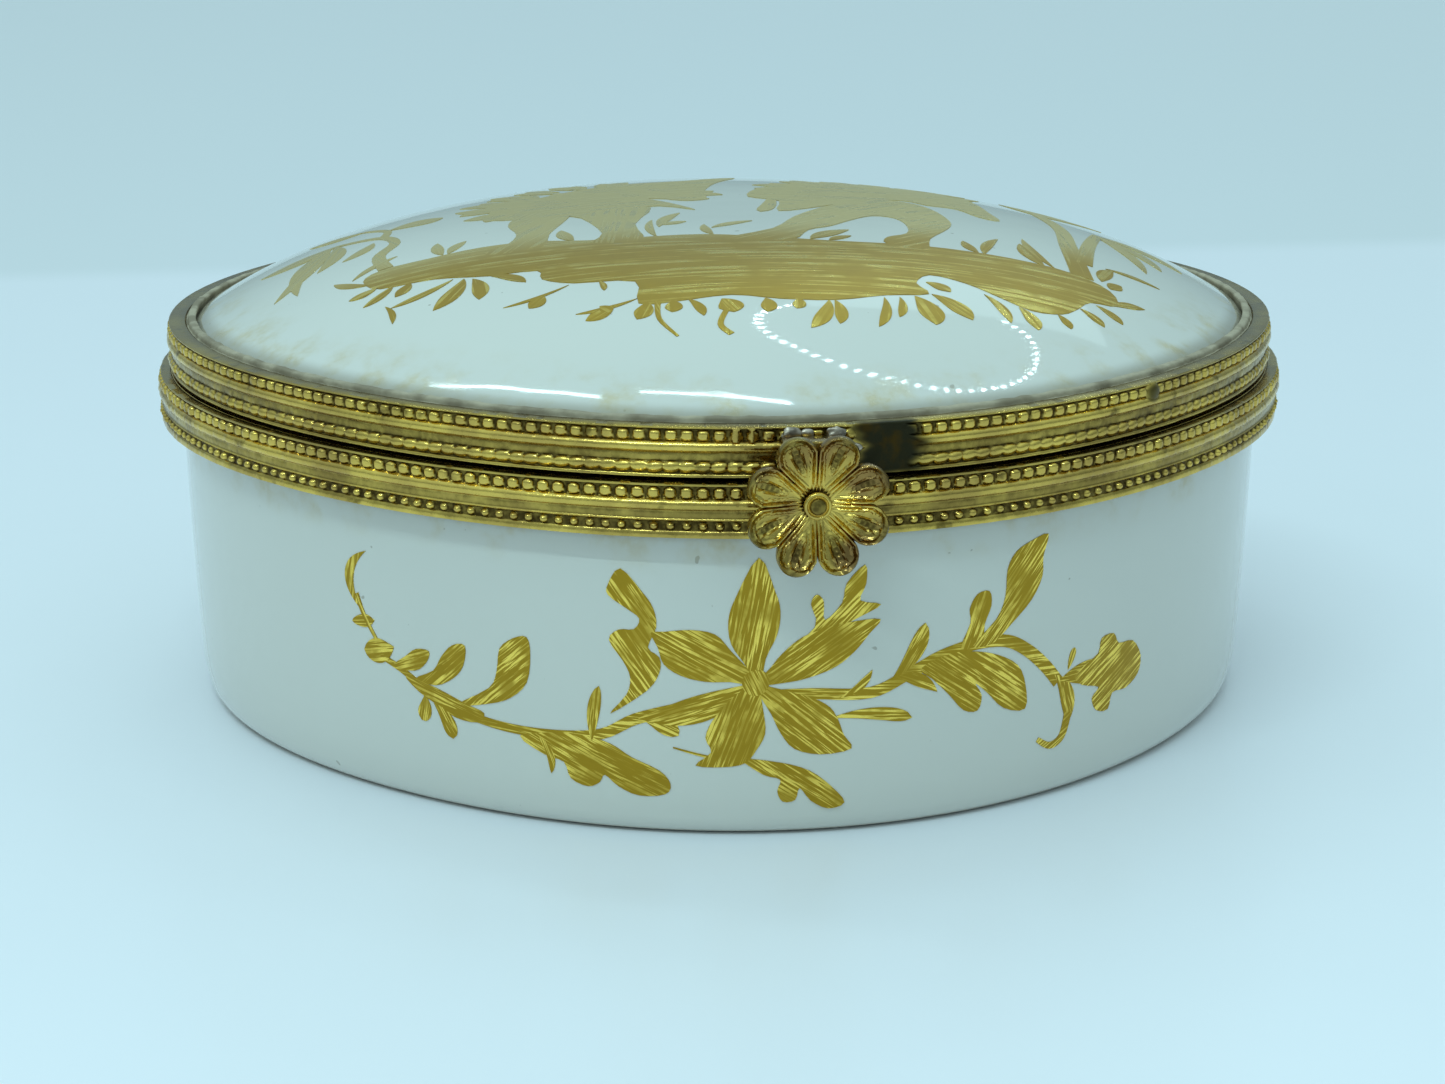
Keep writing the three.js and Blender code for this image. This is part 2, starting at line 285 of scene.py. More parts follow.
def scaled(colour, share):
    """A colour made lighter or darker."""
    return tuple(c * share for c in colour)


class Look:
    """A material made of nodes. Each method adds nodes and returns the socket they end in."""

    def __init__(self, name, metallic=0.0, roughness=0.5, **constants):
        self.material = bpy.data.materials.new(name)
        self.material.use_nodes = True
        self.tree = self.material.node_tree
        self.shader = self.tree.nodes["Principled BSDF"]
        self.shader.inputs["Metallic"].default_value = metallic
        self.shader.inputs["Roughness"].default_value = roughness
        for label, value in constants.items():
            self.shader.inputs[label.replace("_", " ").title()].default_value = value

    def set(self, socket, value):
        """Gives a socket a number or a colour, or links it to another socket."""
        if isinstance(value, bpy.types.NodeSocket):
            self.tree.links.new(value, socket)
        elif socket.type == "RGBA":
            socket.default_value = (*value, 1)
        else:
            socket.default_value = value

    def add(self, kind, inputs, output=0, **settings):
        made = self.tree.nodes.new(kind)
        for label, value in settings.items():
            setattr(made, label, value)
        for label, value in inputs.items():
            self.set(made.inputs[label], value)
        return made.outputs[output]

    def place(self):
        """Where the shaded point is with the box closed, in metres."""
        return self.add("ShaderNodeTexCoord", {}, "Object")

    def across(self, axis):
        """The same along one axis, in millimetres."""
        return self.times(self.add("ShaderNodeSeparateXYZ", {0: self.place()}, axis), 1 / MM)

    def times(self, a, b):
        return self.add("ShaderNodeMath", {0: a, 1: b}, operation="MULTIPLY")

    def either(self, a, b):
        return self.add("ShaderNodeMath", {0: a, 1: b}, operation="MAXIMUM")

    def noise(self, size, detail=3.0, vector=None):
        """Noise with patches of a size in millimetres, or in the units of its own vector."""
        scale = 1 / size if vector else 1 / (size * MM)
        inputs = {"Vector": vector or self.place(), "Scale": scale, "Detail": detail}
        return self.add("ShaderNodeTexNoise", inputs)

    def ramp(self, value, start, end, low=0.0, high=1.0):
        """From low to high, smoothly, as the value goes from start to end."""
        inputs = {
            "Value": value, "From Min": start, "From Max": end, "To Min": low, "To Max": high,
        }
        return self.add("ShaderNodeMapRange", inputs, interpolation_type="SMOOTHSTEP")

    def mark(self, name):
        """A number that the mesh holds at each point."""
        return self.add("ShaderNodeAttribute", {}, "Fac", attribute_name=name)

    def mix(self, share, a, b):
        return self.add("ShaderNodeMix", {0: share, 6: a, 7: b}, 2, data_type="RGBA")

    def colour(self, value):
        self.set(self.shader.inputs["Base Color"], value)

    def roughness(self, value):
        self.set(self.shader.inputs["Roughness"], value)

    def bump(self, height, depth, strength=1.0):
        """Bumps of a depth in millimetres."""
        inputs = {"Height": height, "Distance": depth * MM, "Strength": strength}
        self.set(self.shader.inputs["Normal"], self.add("ShaderNodeBump", inputs))


def porcelain(name, stain_from, stain_to, foot=False):
    """Glazed porcelain. Stains creep over it between two heights, from the first."""
    look = Look(name, coat_weight=0.3, coat_roughness=0.01)
    height = look.across("Z")
    near = look.ramp(height, stain_from, stain_to, 1.0, 0.0)
    blots = look.ramp(look.noise(3.4, 4), 0.42, 0.7)
    fine = look.ramp(look.noise(0.9, 4), 0.35, 0.65, 0.45, 1.0)
    stained = look.times(look.times(near, look.mark("weathered")), look.times(blots, fine))
    tone = look.mix(look.noise(22, 2), PORCELAIN, scaled(PORCELAIN, 0.96))
    specks = look.ramp(look.noise(0.9, 1), 0.79, 0.82)
    tone = look.mix(look.times(specks, 0.5), tone, GRIME)
    tone = look.mix(look.times(stained, 0.75), tone, STAIN)
    line = look.ramp(height, stain_from, stain_from + (stain_to - stain_from) / 4, 0.6, 0)
    tone = look.mix(look.times(line, look.mark("weathered")), tone, OLD_LINE)
    rough = look.ramp(stained, 0, 1, GLAZE_ROUGHNESS, 0.3)
    if foot:
        bare = look.ramp(height, 0.15, 0.45, 1.0, 0.0)
        tone = look.mix(bare, tone, BISQUE)
        rough = look.either(rough, look.times(bare, 0.8))
    look.colour(tone)
    look.roughness(rough)
    look.bump(look.noise(9, 2), 0.05)
    return look.material


def brass(name, patches=0.5, tarnished=0.0):
    """Old gilt brass, bright where it stands proud, darkened by painted shade in its hollows and by
    spots of dirt.
    """
    look = Look(name, metallic=1.0)
    wide = look.ramp(look.noise(7, 4), 0.38, 0.68)
    fine = look.noise(0.4, 5)
    # painted shade: the lower a place stands, the darker its colour is made
    hollow = look.ramp(look.mark("proud"), 0.62, -0.05)
    spots = look.ramp(look.noise(2.4, 6), 0.6, 0.72, 0, 0.75)
    # painted shade in the hollows together with dirt in spots, both turning towards BRASS_DARK
    dirt_and_shade = look.times(look.either(hollow, spots), look.ramp(fine, 0.3, 0.62, 0.75, 1.0))
    tone = look.mix(look.times(wide, patches), BRASS_BRIGHT, BRASS_DULL)
    brown = look.ramp(look.noise(3.5, 4), 0.36, 0.62, 0, tarnished)
    tone = look.mix(brown, tone, TARNISH)
    tone = look.mix(dirt_and_shade, tone, BRASS_DARK)
    burnt = look.mark("burnt")
    charred = look.mix(look.ramp(look.noise(1.1, 5), 0.45, 0.75), BURNT, BRASS_DARK)
    tone = look.mix(burnt, tone, charred)
    look.colour(tone)
    worn = look.ramp(fine, 0.3, 0.7, 0.14, 0.3)
    look.roughness(look.either(worn, look.times(look.either(dirt_and_shade, burnt), 0.5)))
    look.bump(fine, 0.03, 0.6)
    return look.material


def gilding(name, field, stroke, length, width, thin_from=None):
    """Gold fired on the glaze and burnished with short strokes, along the mesh's strokes map.

    Behind thin_from, a place on the Y axis, the film is thin and the white glaze shows through.
    """
    look = Look(name, metallic=1.0)
    strokes = look.add("ShaderNodeUVMap", {}, uv_map="strokes")
    layers = []
    for turn in (0, 17):  # two layers of strokes, that far apart in degrees
        scale, rotation = (1 / length, 1 / width, 1), (0, 0, math.radians(turn))
        inputs = {"Vector": strokes, "Scale": scale, "Rotation": rotation}
        stretched = look.add("ShaderNodeMapping", inputs)
        layers.append(look.ramp(look.noise(1, 2, stretched), 0.55, 0.6))
    where = look.ramp(look.noise(2.6, 3), 0.36, 0.6, 0.15, 1.0)
    burnished = look.times(look.either(*layers), where)
    tone = look.mix(look.noise(1.6, 4), field, scaled(field, 0.8))
    tone = look.mix(burnished, tone, stroke)
    if thin_from is not None:
        thin = look.ramp(look.across("Y"), thin_from, thin_from + 8, 0.0, 0.6)
        tone = look.mix(thin, tone, GOLD_THIN)
    look.colour(tone)
    look.roughness(look.ramp(burnished, 0, 1, 0.4, 0.27))
    look.bump(burnished, 0.008, 0.5)
    return look.material


def cement_look():
    """Pale old cement with grime in patches."""
    look = Look("old_cement", roughness=0.8)
    grime = look.ramp(look.noise(3.0, 5), 0.4, 0.62, 0, 0.85)
    pale = look.mix(look.noise(0.6, 3), CEMENT, scaled(CEMENT, 1.4))
    look.colour(look.mix(grime, pale, GRIME))
    look.bump(look.noise(0.5, 5), 0.06)
    return look.material


def metal_look(name, colour, roughness, patch=0.8):
    """A plain metal with darker and rougher patches."""
    look = Look(name, metallic=1.0)
    dark = look.ramp(look.noise(patch, 5), 0.4, 0.7)
    look.colour(look.mix(dark, colour, scaled(colour, 0.35)))
    look.roughness(look.ramp(dark, 0, 1, roughness, roughness + 0.25))
    look.bump(look.noise(patch / 3, 4), 0.03)
    return look.material


# ---- Porcelain ----


def bowl(material):
    """A low wall over a rounded corner, on a flat foot ring, with a plain inside."""
    rim_height = BOWL_HIGH.z
    ring_outer = FOOT_RADIUS - FOOT_CORNER
    ring_inner = ring_outer - FOOT_RING_WIDTH
    wall = [(wall_radius(z), z, 0) for z in np.linspace(BASE_STRIP_LOW.z - 0.1, 3, 12)]
    profile = rounded([
        (0, FLOOR_TOP, 0),
        (FOOT_RADIUS - WALL_THICKNESS, FLOOR_TOP, 5),
        (WALL_RADIUS - WALL_THICKNESS, rim_height, 0.6),
        (WALL_RADIUS, rim_height, 0.6),
        (WALL_RADIUS, BASE_STRIP_LOW.z, 0),
        *wall,
        (FOOT_RADIUS, 0, FOOT_CORNER),
        (ring_inner, 0, 0.5),
        (ring_inner - 0.7, FOOT_RING_HEIGHT, 0.5),
        (0, FOOT_RING_HEIGHT, 0),
    ])
    points, faces = vessel(profile)
    weathered = profile_mark(profile[:, 0] > wall_radius(profile[:, 1]) - 0.5)
    piece("bowl", points, faces, material, "base", "porcelain", ["base_bowl"], weathered=weathered)


def dome(material):
    """A shallow dome over a short straight skirt."""
    share = np.linspace(0, 1, 44) ** 0.8
    outside = [(DOME_RADIUS * s, dome_height(s, DOME_HIGH.z, DOME_EDGE)) for s in share]
    inner_radius = DOME_SKIRT_RADIUS - DOME_THICKNESS
    inner_top, inner_edge = DOME_HIGH.z - DOME_THICKNESS, DOME_EDGE - 2
    inside = [(inner_radius * s, dome_height(s, inner_top, inner_edge)) for s in share[::-1]]
    skirt = rounded([
        (DOME_RADIUS, DOME_EDGE, 0),
        (DOME_SKIRT_RADIUS, DOME_EDGE - 0.7, 0.4),
        (DOME_SKIRT_RADIUS, DOME_LOW.z, 0.5),
        (inner_radius, DOME_LOW.z, 0.5),
        (inner_radius, inner_edge, 0),
    ])
    profile = np.vstack([outside, skirt[1:-1], inside])
    points, faces = vessel(profile)
    weathered = profile_mark(np.arange(len(profile)) < len(outside) + 2)
    piece("dome", points, faces, material, "lid", "porcelain", ["lid_dome"], weathered=weathered)


# ---- Cement ----


def cement_ring(name, outline, body, node, material, lumps):
    """A bed of cement whose top is uneven by up to the lumps' height."""
    points, faces = ring(rounded(outline, closed=True, longest=0.5), steps=480)
    top = points[:, 2].max()
    for i in np.flatnonzero(points[:, 2] > top - 0.5):
        points[i, 2] += lumps * noise.fractal(Vector(points[i]) * 0.9, 0.8, 2.0, 4)
    piece(name, points, faces, material, body, "cement", [node])


def cement_beds(material):
    """The bed under each mount. The dome's bed shows as an uneven lip inside its strip."""
    low, high = corners("base_cement")
    inner, outer = WALL_RADIUS + 0.02, high.x
    outline = [(inner, high.z, 0), (outer, high.z, 0), (outer, low.z, 0.3), (inner, low.z, 0)]
    cement_ring("bowl_cement", outline, "base", "base_cement", material, 0)
    low, high = corners("lid_cement")
    inner, outer = DOME_SKIRT_RADIUS + 0.02, high.x
    lip = LID_RADIUS - 2 * STRIP_THICKNESS - 0.02
    top = LID_STRIP_HIGH.z
    outline = [
        (DOME_RADIUS + 0.35, top + 0.36, 0.2),
        (lip - 0.15, top + 0.34, 0.28),
        (lip - 0.1, top - 0.04, 0),
        (lip, top - 0.06, 0),
        (lip, top - SHEET - 0.02, 0),
        (outer, top - SHEET - 0.02, 0),
        (outer, low.z, 0),
        (inner, low.z, 0),
        (inner, top - 0.5, 0),
    ]
    cement_ring("dome_cement", outline, "lid", "lid_cement", material, 0.08)


# ---- Embossed strips ----


def swell(x, centre, half, height, power=2):
    """A rounded ridge across x. A higher power gives it a flatter top."""
    return height * np.clip(1 - np.abs((x - centre) / half) ** power, 0, None) ** (1 / power)


def highest(reliefs):
    """The highest of several reliefs at each place."""
    return functools.reduce(np.maximum, reliefs)


def drops(down, across, centre, half, height, power=2):
    """A row of rounded beads: half holds their half height and half width."""
    inside = 1 - np.abs((down - centre) / half[0]) ** power - np.abs(across / half[1]) ** power
    return height * np.clip(inside, 0, None) ** (1 / power)


def scallops(down, across, centre, radius):
    """A thin raised arc under each bead."""
    from_bead = np.hypot(down - centre, across)
    return np.where(down > centre, swell(from_bead, radius, 0.07, 0.07), 0)


def base_relief(down, across, swelling):
    """The base strip's relief, at a distance down from its top and across from a bead."""
    return highest([
        swell(down, 0.0, 0.2, 0.2),  # top edge
        drops(down, across, 0.62, (0.37, 0.39), 0.34 * swelling, 3.4),  # upper beads
        scallops(down, across, 0.7, 0.5),
        swell(down, 1.46, 0.42, 0.38),  # half-round
        swell(down, 2.15, 0.36, 0.09),  # low band
        swell(down, 2.54, 0.09, 0.17),  # fillet
        drops(down, across, 2.98, (0.27, 0.31), 0.33 * swelling),  # lower beads
        swell(down, 3.7, 0.42, 0.17),  # bottom edge
    ])


def lid_relief(down, across, swelling):
    """The lid strip's relief. Its lower beads are wide and close together, like a rope."""
    return highest([
        swell(down, 0.0, 0.2, 0.2),  # top edge
        drops(down, across, 0.62, (0.35, 0.39), 0.3 * swelling, 3.4),  # upper beads
        scallops(down, across, 0.68, 0.48),
        swell(down, 1.42, 0.4, 0.38),  # half-round
        swell(down, 2.08, 0.34, 0.08),  # low band
        drops(down, across + 0.25 * (down - 2.85), 2.85, (0.42, 0.74), 0.32 * swelling),  # rope
        swell(down, 3.5, 0.2, 0.14),  # bottom edge
    ])


def between(x, start, end, soft):
    """1 between two places, falling to 0 outside them over a soft width."""
    rise = np.clip((x - start) / soft + 0.5, 0, 1)
    fall = np.clip((end - x) / soft + 0.5, 0, 1)
    return rise * rise * (3 - 2 * rise) * fall * fall * (3 - 2 * fall)


def repair(out, along, down):
    """Two upright bars and a burnt patch filed flat by the clasp, and a blob further round."""
    bars = highest([swell(along, *bar, 3) for bar in BARS])
    out = highest([out, bars * between(down, 0.1, 1.05, 0.1)])
    ragged = 0.35 * np.sin(down * 2.6 + 0.5) + 0.18 * np.sin(down * 7)
    filed = between(along + ragged, *FILED, 0.8)
    wavy = 0.1 + 0.03 * np.sin(along * 3.1 + down * 2)
    burnt = between(along + ragged, *CHARRED, 1.7) * between(down, -0.3, 3.6, 0.6)
    blob = drops(down, along - BLOB, 0.75, (0.75, 0.95), 0.45)
    burnt = np.maximum(burnt, np.minimum(2.2 * blob, 0.85))
    return highest([out * (1 - filed) + wavy * filed, blob]), burnt


def strip(name, node, body, radius, inside, relief, material, repaired=False):
    """A strip with relief on its face. Inside is the profile of its back, from the bottom up."""
    low, high = (corner.z for corner in corners(node))
    steps = BEADS * STEPS_PER_BEAD
    angle = (np.arange(steps) / steps * 2 - 1) * np.pi
    down = np.linspace(0, high - low, STRIP_ROWS)
    pitch = 2 * math.pi * radius / BEADS
    across = ((angle * BEADS / (2 * np.pi)) % 1 - 0.5) * pitch
    uneven = np.random.default_rng(BEAD_SEED).random(BEADS)
    swelling = np.repeat(1.1 - 0.4 * uneven**2, STEPS_PER_BEAD)
    out = relief(down[None, :], across[:, None], swelling[:, None])
    wear = [noise.fractal(Vector((a * 40, 0, 3 * low)), 0.8, 2.0, 3) for a in angle]
    out += 0.05 * np.array(wear)[:, None] * np.cos(down * 1.7 + low)[None, :]
    burnt = np.zeros_like(out)
    if repaired:
        out, burnt = repair(out, (angle * radius)[:, None], down[None, :])
    edge = radius - 0.12 * np.clip(1 - down / 0.12, 0, 1) ** 2
    face = around(edge[None, :] + out, angle[:, None], (high - down)[None, :])
    inside = np.array(inside)
    back = around(inside[None, :, 0], angle[:, None], inside[None, :, 1])
    points = np.concatenate([face, back], axis=1)
    plain = np.ones((steps, len(inside)))
    top_edge = 0.5 * np.clip(1 - down / 0.2, 0, 1) + 0 * out
    # proud is the relief's height; the brass darkens the low places in it as painted shade
    marks = {
        "proud": np.concatenate([out / RELIEF, 0.3 * plain], axis=1),
        "burnt": np.concatenate([np.maximum(burnt, top_edge), 0.48 * plain], axis=1),
    }
    faces = grid_faces(steps, points.shape[1])
    piece(name, points, faces, material, body, "aged_brass", [node], **marks)


def base_strip(material):
    inner = BASE_RADIUS - STRIP_THICKNESS
    inside = [(inner, BASE_STRIP_LOW.z), (inner, BASE_STRIP_HIGH.z)]
    strip("base_strip", "base_band", "base", BASE_RADIUS, inside, base_relief, material)


def lid_strip(material):
    """The lid's strip, which turns over the dome's edge in a narrow lip."""
    inner, high = LID_RADIUS - STRIP_THICKNESS, LID_STRIP_HIGH.z
    lip = inner - STRIP_THICKNESS
    inside = [
        (inner, LID_STRIP_LOW.z),
        (inner, high - SHEET),
        (lip, high - SHEET),
        (lip, high - 0.1),
        (lip + 0.1, high),
    ]
    strip("lid_strip", "lid_band", "lid", LID_RADIUS, inside, lid_relief, material, repaired=True)


# ---- Collars ----


def rim(name, node, body, skirt_depth, way, material):
    """A thin L-section rim. Its flange faces the other rim, and its skirt lines the porcelain.

    The skirt goes down from the flange where way is -1, and up where it is 1.
    """
    low, high = corners(node)
    face = high.z if way < 0 else low.z
    outer = high.x
    inner = WALL_RADIUS - WALL_THICKNESS if way < 0 else DOME_SKIRT_RADIUS - DOME_THICKNESS
    skirt = inner - SHEET - 0.3
    outline = [
        (skirt, face, 0.18),
        (outer, face, 0.1),
        (outer, face + way * SHEET, 0.1),
        (skirt + SHEET, face + way * SHEET, 0.2),
        (skirt + SHEET, face + way * skirt_depth, 0.15),
        (skirt, face + way * skirt_depth, 0.15),
    ]
    if way > 0:
        outline.reverse()
    points, faces = ring(rounded(outline, closed=True))
    piece(name, points, faces, material, body, "aged_brass", [node], proud=0.6)


# ---- Hinge ----


def taken_from(work, unit):
    """The points, in a unit, and the faces of a work mesh, which is then freed."""
    points = [v.co / unit for v in work.verts]
    faces = [[v.index for v in face.verts] for face in work.faces]
    work.free()
    return points, faces


def softened(name, node, body, width, material):
    """A CAD node's own shape, with its edges rounded to a width."""
    work = bmesh.new()
    work.from_mesh(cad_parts[node].data)
    bmesh.ops.remove_doubles(work, verts=work.verts, dist=1e-6)
    flat = math.radians(1)
    bmesh.ops.dissolve_limit(work, angle_limit=flat, verts=work.verts, edges=work.edges)
    sharp = [e for e in work.edges if e.calc_face_angle(0) > math.radians(30)]
    bmesh.ops.bevel(
        work, geom=sharp, offset=width * MM, segments=3, profile=0.5, affect="EDGES",
        clamp_overlap=True,
    )
    bmesh.ops.triangulate(work, faces=work.faces)
    points, faces = taken_from(work, MM)
    piece(
        name, points, faces, material, body, "aged_brass", [node], sharp_angle=60, proud=0.45
    )


def knuckle(node, body, material):
    """A rolled tube, with a groove where the sheet's edge comes round."""
    low, high = corners(node)
    centre, half, radius = (low + high) / 2, (high.x - low.x) / 2, (high.z - low.z) / 2
    bore = 0.5
    profile = rounded(
        [(bore, -half, 0.1), (bore, half, 0.1), (radius, half, 0.22), (radius, -half, 0.22)],
        closed=True, longest=0.4,
    )
    steps = 72
    angle = turned(steps)
    groove = 0.14 * np.exp(-(((angle - 2.2) / 0.09) ** 2))
    reach = profile[None, :, 0] - groove * (profile[None, :, 0] > radius - 0.05)
    x = centre.x + np.broadcast_to(profile[None, :, 1], reach.shape)
    y, z = centre.y + reach * np.sin(angle), centre.z + reach * np.cos(angle)
    faces = grid_faces(steps, len(profile))
    # the groove is marked low, so the brass darkens it as painted shade
    piece(
        node + "_rolled", np.stack([x, y, z], axis=-1), faces, material, body, "aged_brass",
        [node], proud=0.6 - 4 * groove + 0 * x,
    )


def hinge_pin(material):
    """A rod with peened ends."""
    low, high = corners("hinge_pin")
    centre, half, radius = (low + high) / 2, (high.x - low.x) / 2, (high.z - low.z) / 2
    profile = rounded(
        [(0, half, 0), (radius, half, 0.2), (radius, -half, 0.2), (0, -half, 0)], longest=0.5
    )
    points, faces = vessel(profile, steps=32, follows_plan=False)
    points = np.stack([points[:, 2], points[:, 0], points[:, 1]], axis=-1) + np.array(centre)
    piece("pin", points, faces, material, "base", "pin_steel", ["hinge_pin"])


# ---- Clasp ----


def petal_plan(angle, rows):
    """Radii from the daisy's centre to its edge, and each place's distances in its own petal."""
    sector = 2 * math.pi / PETALS
    off = angle % sector - sector / 2
    inside_lobe = LOBE_RADIUS**2 - (LOBE_CENTRE * np.sin(off)) ** 2
    reach = LOBE_CENTRE * np.cos(off) + np.sqrt(np.clip(inside_lobe, 0.003, None))
    radius = DAISY_HOLE + (reach - DAISY_HOLE) * np.linspace(0, 1, rows)[None, :] ** 0.9
    lateral = np.abs(radius * np.sin(off))
    along = radius * np.cos(off)
    tip_width = np.sqrt(np.clip(LOBE_RADIUS**2 - (along - LOBE_CENTRE) ** 2, 0, None))
    width = np.where(along < LOBE_CENTRE, along * math.tan(sector / 2), tip_width)
    from_edge = np.minimum(width - lateral, reach - radius)
    return radius, along, lateral, from_edge


def petal_relief(along, lateral, from_edge):
    """Two ridges inside a petal's edge, round a hollow spoon with a row of seeds."""
    lines = sum(swell(from_edge, *ridge) for ridge in PETAL_RIDGES)
    taper = 1.35 + 0.22 * (4.4 - along)
    spoon_edge = np.hypot((along - SPOON_CENTRE) / 2.2, lateral * taper)
    spoon = SPOON_DEPTH * np.clip(1 - (spoon_edge / 0.5) ** 2, 0, 1)
    spoon = spoon - swell(spoon_edge, 0.55, 0.1, 0.12)
    seeds = 0.1 * np.clip(1 - (lateral / 0.17) ** 2, 0, 1) * np.cos(along * 8) ** 2
    return lines - spoon + seeds * (spoon_edge < 0.42)


def daisy(material):
    """Eight spoon-shaped petals, cupped forward, with ridges that run out from the centre."""
    steps, rows = PETALS * 30, 36
    angle = turned(steps)
    radius, along, lateral, from_edge = petal_plan(angle, rows)
    relief = petal_relief(along, lateral, from_edge) * np.clip((radius - 0.9) / 1.2, 0, 1)
    cup = 0.95 * (radius / (LOBE_CENTRE + LOBE_RADIUS)) ** 2
    back = np.maximum(cup - 0.02, 0)
    forward = np.concatenate([0.5 + cup + relief, back[:, ::-1]], axis=1)
    radii = np.concatenate([radius, radius[:, ::-1]], axis=1)
    x, z = radii * np.cos(angle), radii * np.sin(angle)
    points = np.stack([x, FLOWER_HIGH.y - forward, z], axis=-1) + FLOWER_AXIS
    # proud follows the relief, so the brass darkens the spoons and other low places as painted
    # shade
    proud = np.concatenate([0.45 + relief * 3, np.full_like(back, 0.3)], axis=1)
    charred = 0.6 * np.clip((radius - 3.5) / 1.5, 0, 1) ** 2
    charred = np.concatenate([charred, charred], axis=1)
    faces = grid_faces(steps, 2 * rows)
    piece(
        "daisy", points, faces, material, "clasp", "bright_brass", ["clasp_flower"],
        proud=proud, burnt=charred,
    )


def boss(material):
    """The daisy's centre: a low dome in a raised ring."""
    low, high = corners("clasp_boss")
    radius = (high.x - low.x) / 2
    profile = rounded([
        (0, 0.52, 0),
        (0.5, 0.46, 0.2),
        (0.66, 0.12, 0.06),
        (0.78, 0.3, 0.1),
        (radius, 0.2, 0.1),
        (radius, 0, 0),
        (0, 0, 0),
    ], longest=0.15)
    points, faces = vessel(profile, steps=64, follows_plan=False)
    proud = np.where(np.hypot(points[:, 0], points[:, 1]) > 0.6, 0.55, 0.1)
    points = np.stack([points[:, 0], high.y - points[:, 2], points[:, 1]], axis=-1) + FLOWER_AXIS
    piece(
        "boss", points, faces, material, "clasp", "bright_brass", ["clasp_boss"], proud=proud
    )


def solder(material):
    """Blobs of tin solder where the tongue is fixed to the lid's strip."""
    blobs = ((-1.3, 29.95, 0.58), (1.75, 29.9, 0.55), (-0.2, 30.0, 0.35), (3.1, 28.9, 0.38))
    work = bmesh.new()
    for x, z, size in blobs:
        made = bmesh.ops.create_icosphere(work, subdivisions=4, radius=size)
        for vertex in made["verts"]:
            lump = 1 + 0.25 * noise.noise(vertex.co * 2.5 + Vector((x, z, 0)))
            vertex.co = Vector((vertex.co.x * 1.3, vertex.co.y * 0.55, vertex.co.z)) * lump
            vertex.co += Vector((x, -LID_RADIUS - 0.45, z))
    piece("solder", *taken_from(work, 1), material, "lid", "pin_steel")


# ---- Gilding ----


def smooth_line(points, closed, steps=5):
    """A line through points, with rounded turns."""
    places = [np.array(p, float) for p in points]
    count = len(places)
    line = []
    for i in range(count if closed else count - 1):
        near = [i - 1, i, i + 1, i + 2]
        near = [k % count if closed else min(max(k, 0), count - 1) for k in near]
        a, b, c, d = (places[k] for k in near)
        for t in np.arange(steps) / steps:
            cubic = 2 * a - 5 * b + 4 * c - d + t * (3 * (b - c) + d - a)
            line.append(b + 0.5 * t * (c - a + t * cubic))
    if not closed:
        line.append(places[-1])
    return np.array(line)


def edges_of(spine, half):
    """The right and the left edge of a line that has a half width at each point."""
    slope = np.gradient(spine, axis=0)
    side = np.stack([-slope[:, 1], slope[:, 0]], axis=-1)
    side /= np.linalg.norm(side, axis=1)[:, None]
    return spine - side * half, spine + side * half


def leaf(base, tip, width, bend=0.0, fullest=0.5, blunt=0.3):
    """A leaf's outline and its direction. Bend is how far it bows to the left of the way out."""
    base, tip = np.array(base, float), np.array(tip, float)
    way = tip - base
    left = np.array([-way[1], way[0]])
    t = np.linspace(0, 1, 15)[:, None]
    growing = np.sin(np.pi / 2 * np.clip(t / fullest, 0, 1)) ** 0.9
    closing = np.cos(np.pi / 2 * np.clip((t - fullest) / (1 - fullest), 0, 1)) ** (1 - 0.6 * blunt)
    half = width / 2 * np.minimum(growing, closing)
    right_edge, left_edge = edges_of(base + way * t + left * bend * 4 * t * (1 - t), half)
    return np.vstack([right_edge, left_edge[-2:0:-1]]), math.atan2(way[1], way[0])


def stem(points, start_width, end_width):
    """A stem's outline and its direction, tapering between two widths."""
    spine = smooth_line(points, closed=False)
    half = np.linspace(start_width, end_width, len(spine))[:, None] / 2
    right_edge, left_edge = edges_of(spine, half)
    way = spine[-1] - spine[0]
    return np.vstack([right_edge, left_edge[::-1]]), math.atan2(way[1], way[0])


def blot(points, direction=0.0):
    """A free outline and the direction of its strokes, in degrees."""
    return smooth_line(points, closed=True, steps=3), math.radians(direction)


def lies_in(outline, places):
    """Which places lie in a closed outline."""
    x, y = places.T
    found = np.zeros(len(places), bool)
    for (ax, ay), (bx, by) in zip(outline, np.roll(outline, -1, axis=0)):
        crossed = (ay > y) != (by > y)
        rise = by - ay if by != ay else 1
        found ^= crossed & (x < ax + (bx - ax) * (y - ay) / rise)
    return found


def cut_out(shapes, spacing=0.8):
    """Flat points and triangles that fill the shapes, and which shape owns each triangle."""
    points, faces = [], []
    for outline, _ in shapes:
        faces.append(list(range(len(points), len(points) + len(outline))))
        points += [Vector(p) for p in outline]
    low, high = np.min(points, axis=0), np.max(points, axis=0)
    for u in np.arange(low[0], high[0], spacing):
        points += [Vector((u, v)) for v in np.arange(low[1], high[1], spacing)]
    found = delaunay_2d_cdt(points, [], faces, 0, 1e-4)
    flat, triangles = np.array(found[0]), np.array(found[2])
    middles = flat[triangles].mean(axis=1)
    owners = np.full(len(triangles), -1)
    for i, (outline, _) in enumerate(shapes):
        owners[lies_in(outline, middles)] = i
    used, triangles = np.unique(triangles[owners >= 0], return_inverse=True)
    return flat[used], triangles.reshape(-1, 3).tolist(), owners[owners >= 0]


def both_sides(triangles, count):
    """The faces of a film: its top, its underside and the walls along its open edges."""
    walls = {}
    for a, b, c in triangles:
        for start, end in ((a, b), (b, c), (c, a)):
            if walls.pop((end, start), None) is None:
                walls[(start, end)] = True
    under = [[i + count for i in reversed(triangle)] for triangle in triangles]
    return triangles + under + [[b, a, a + count, b + count] for a, b in walls]


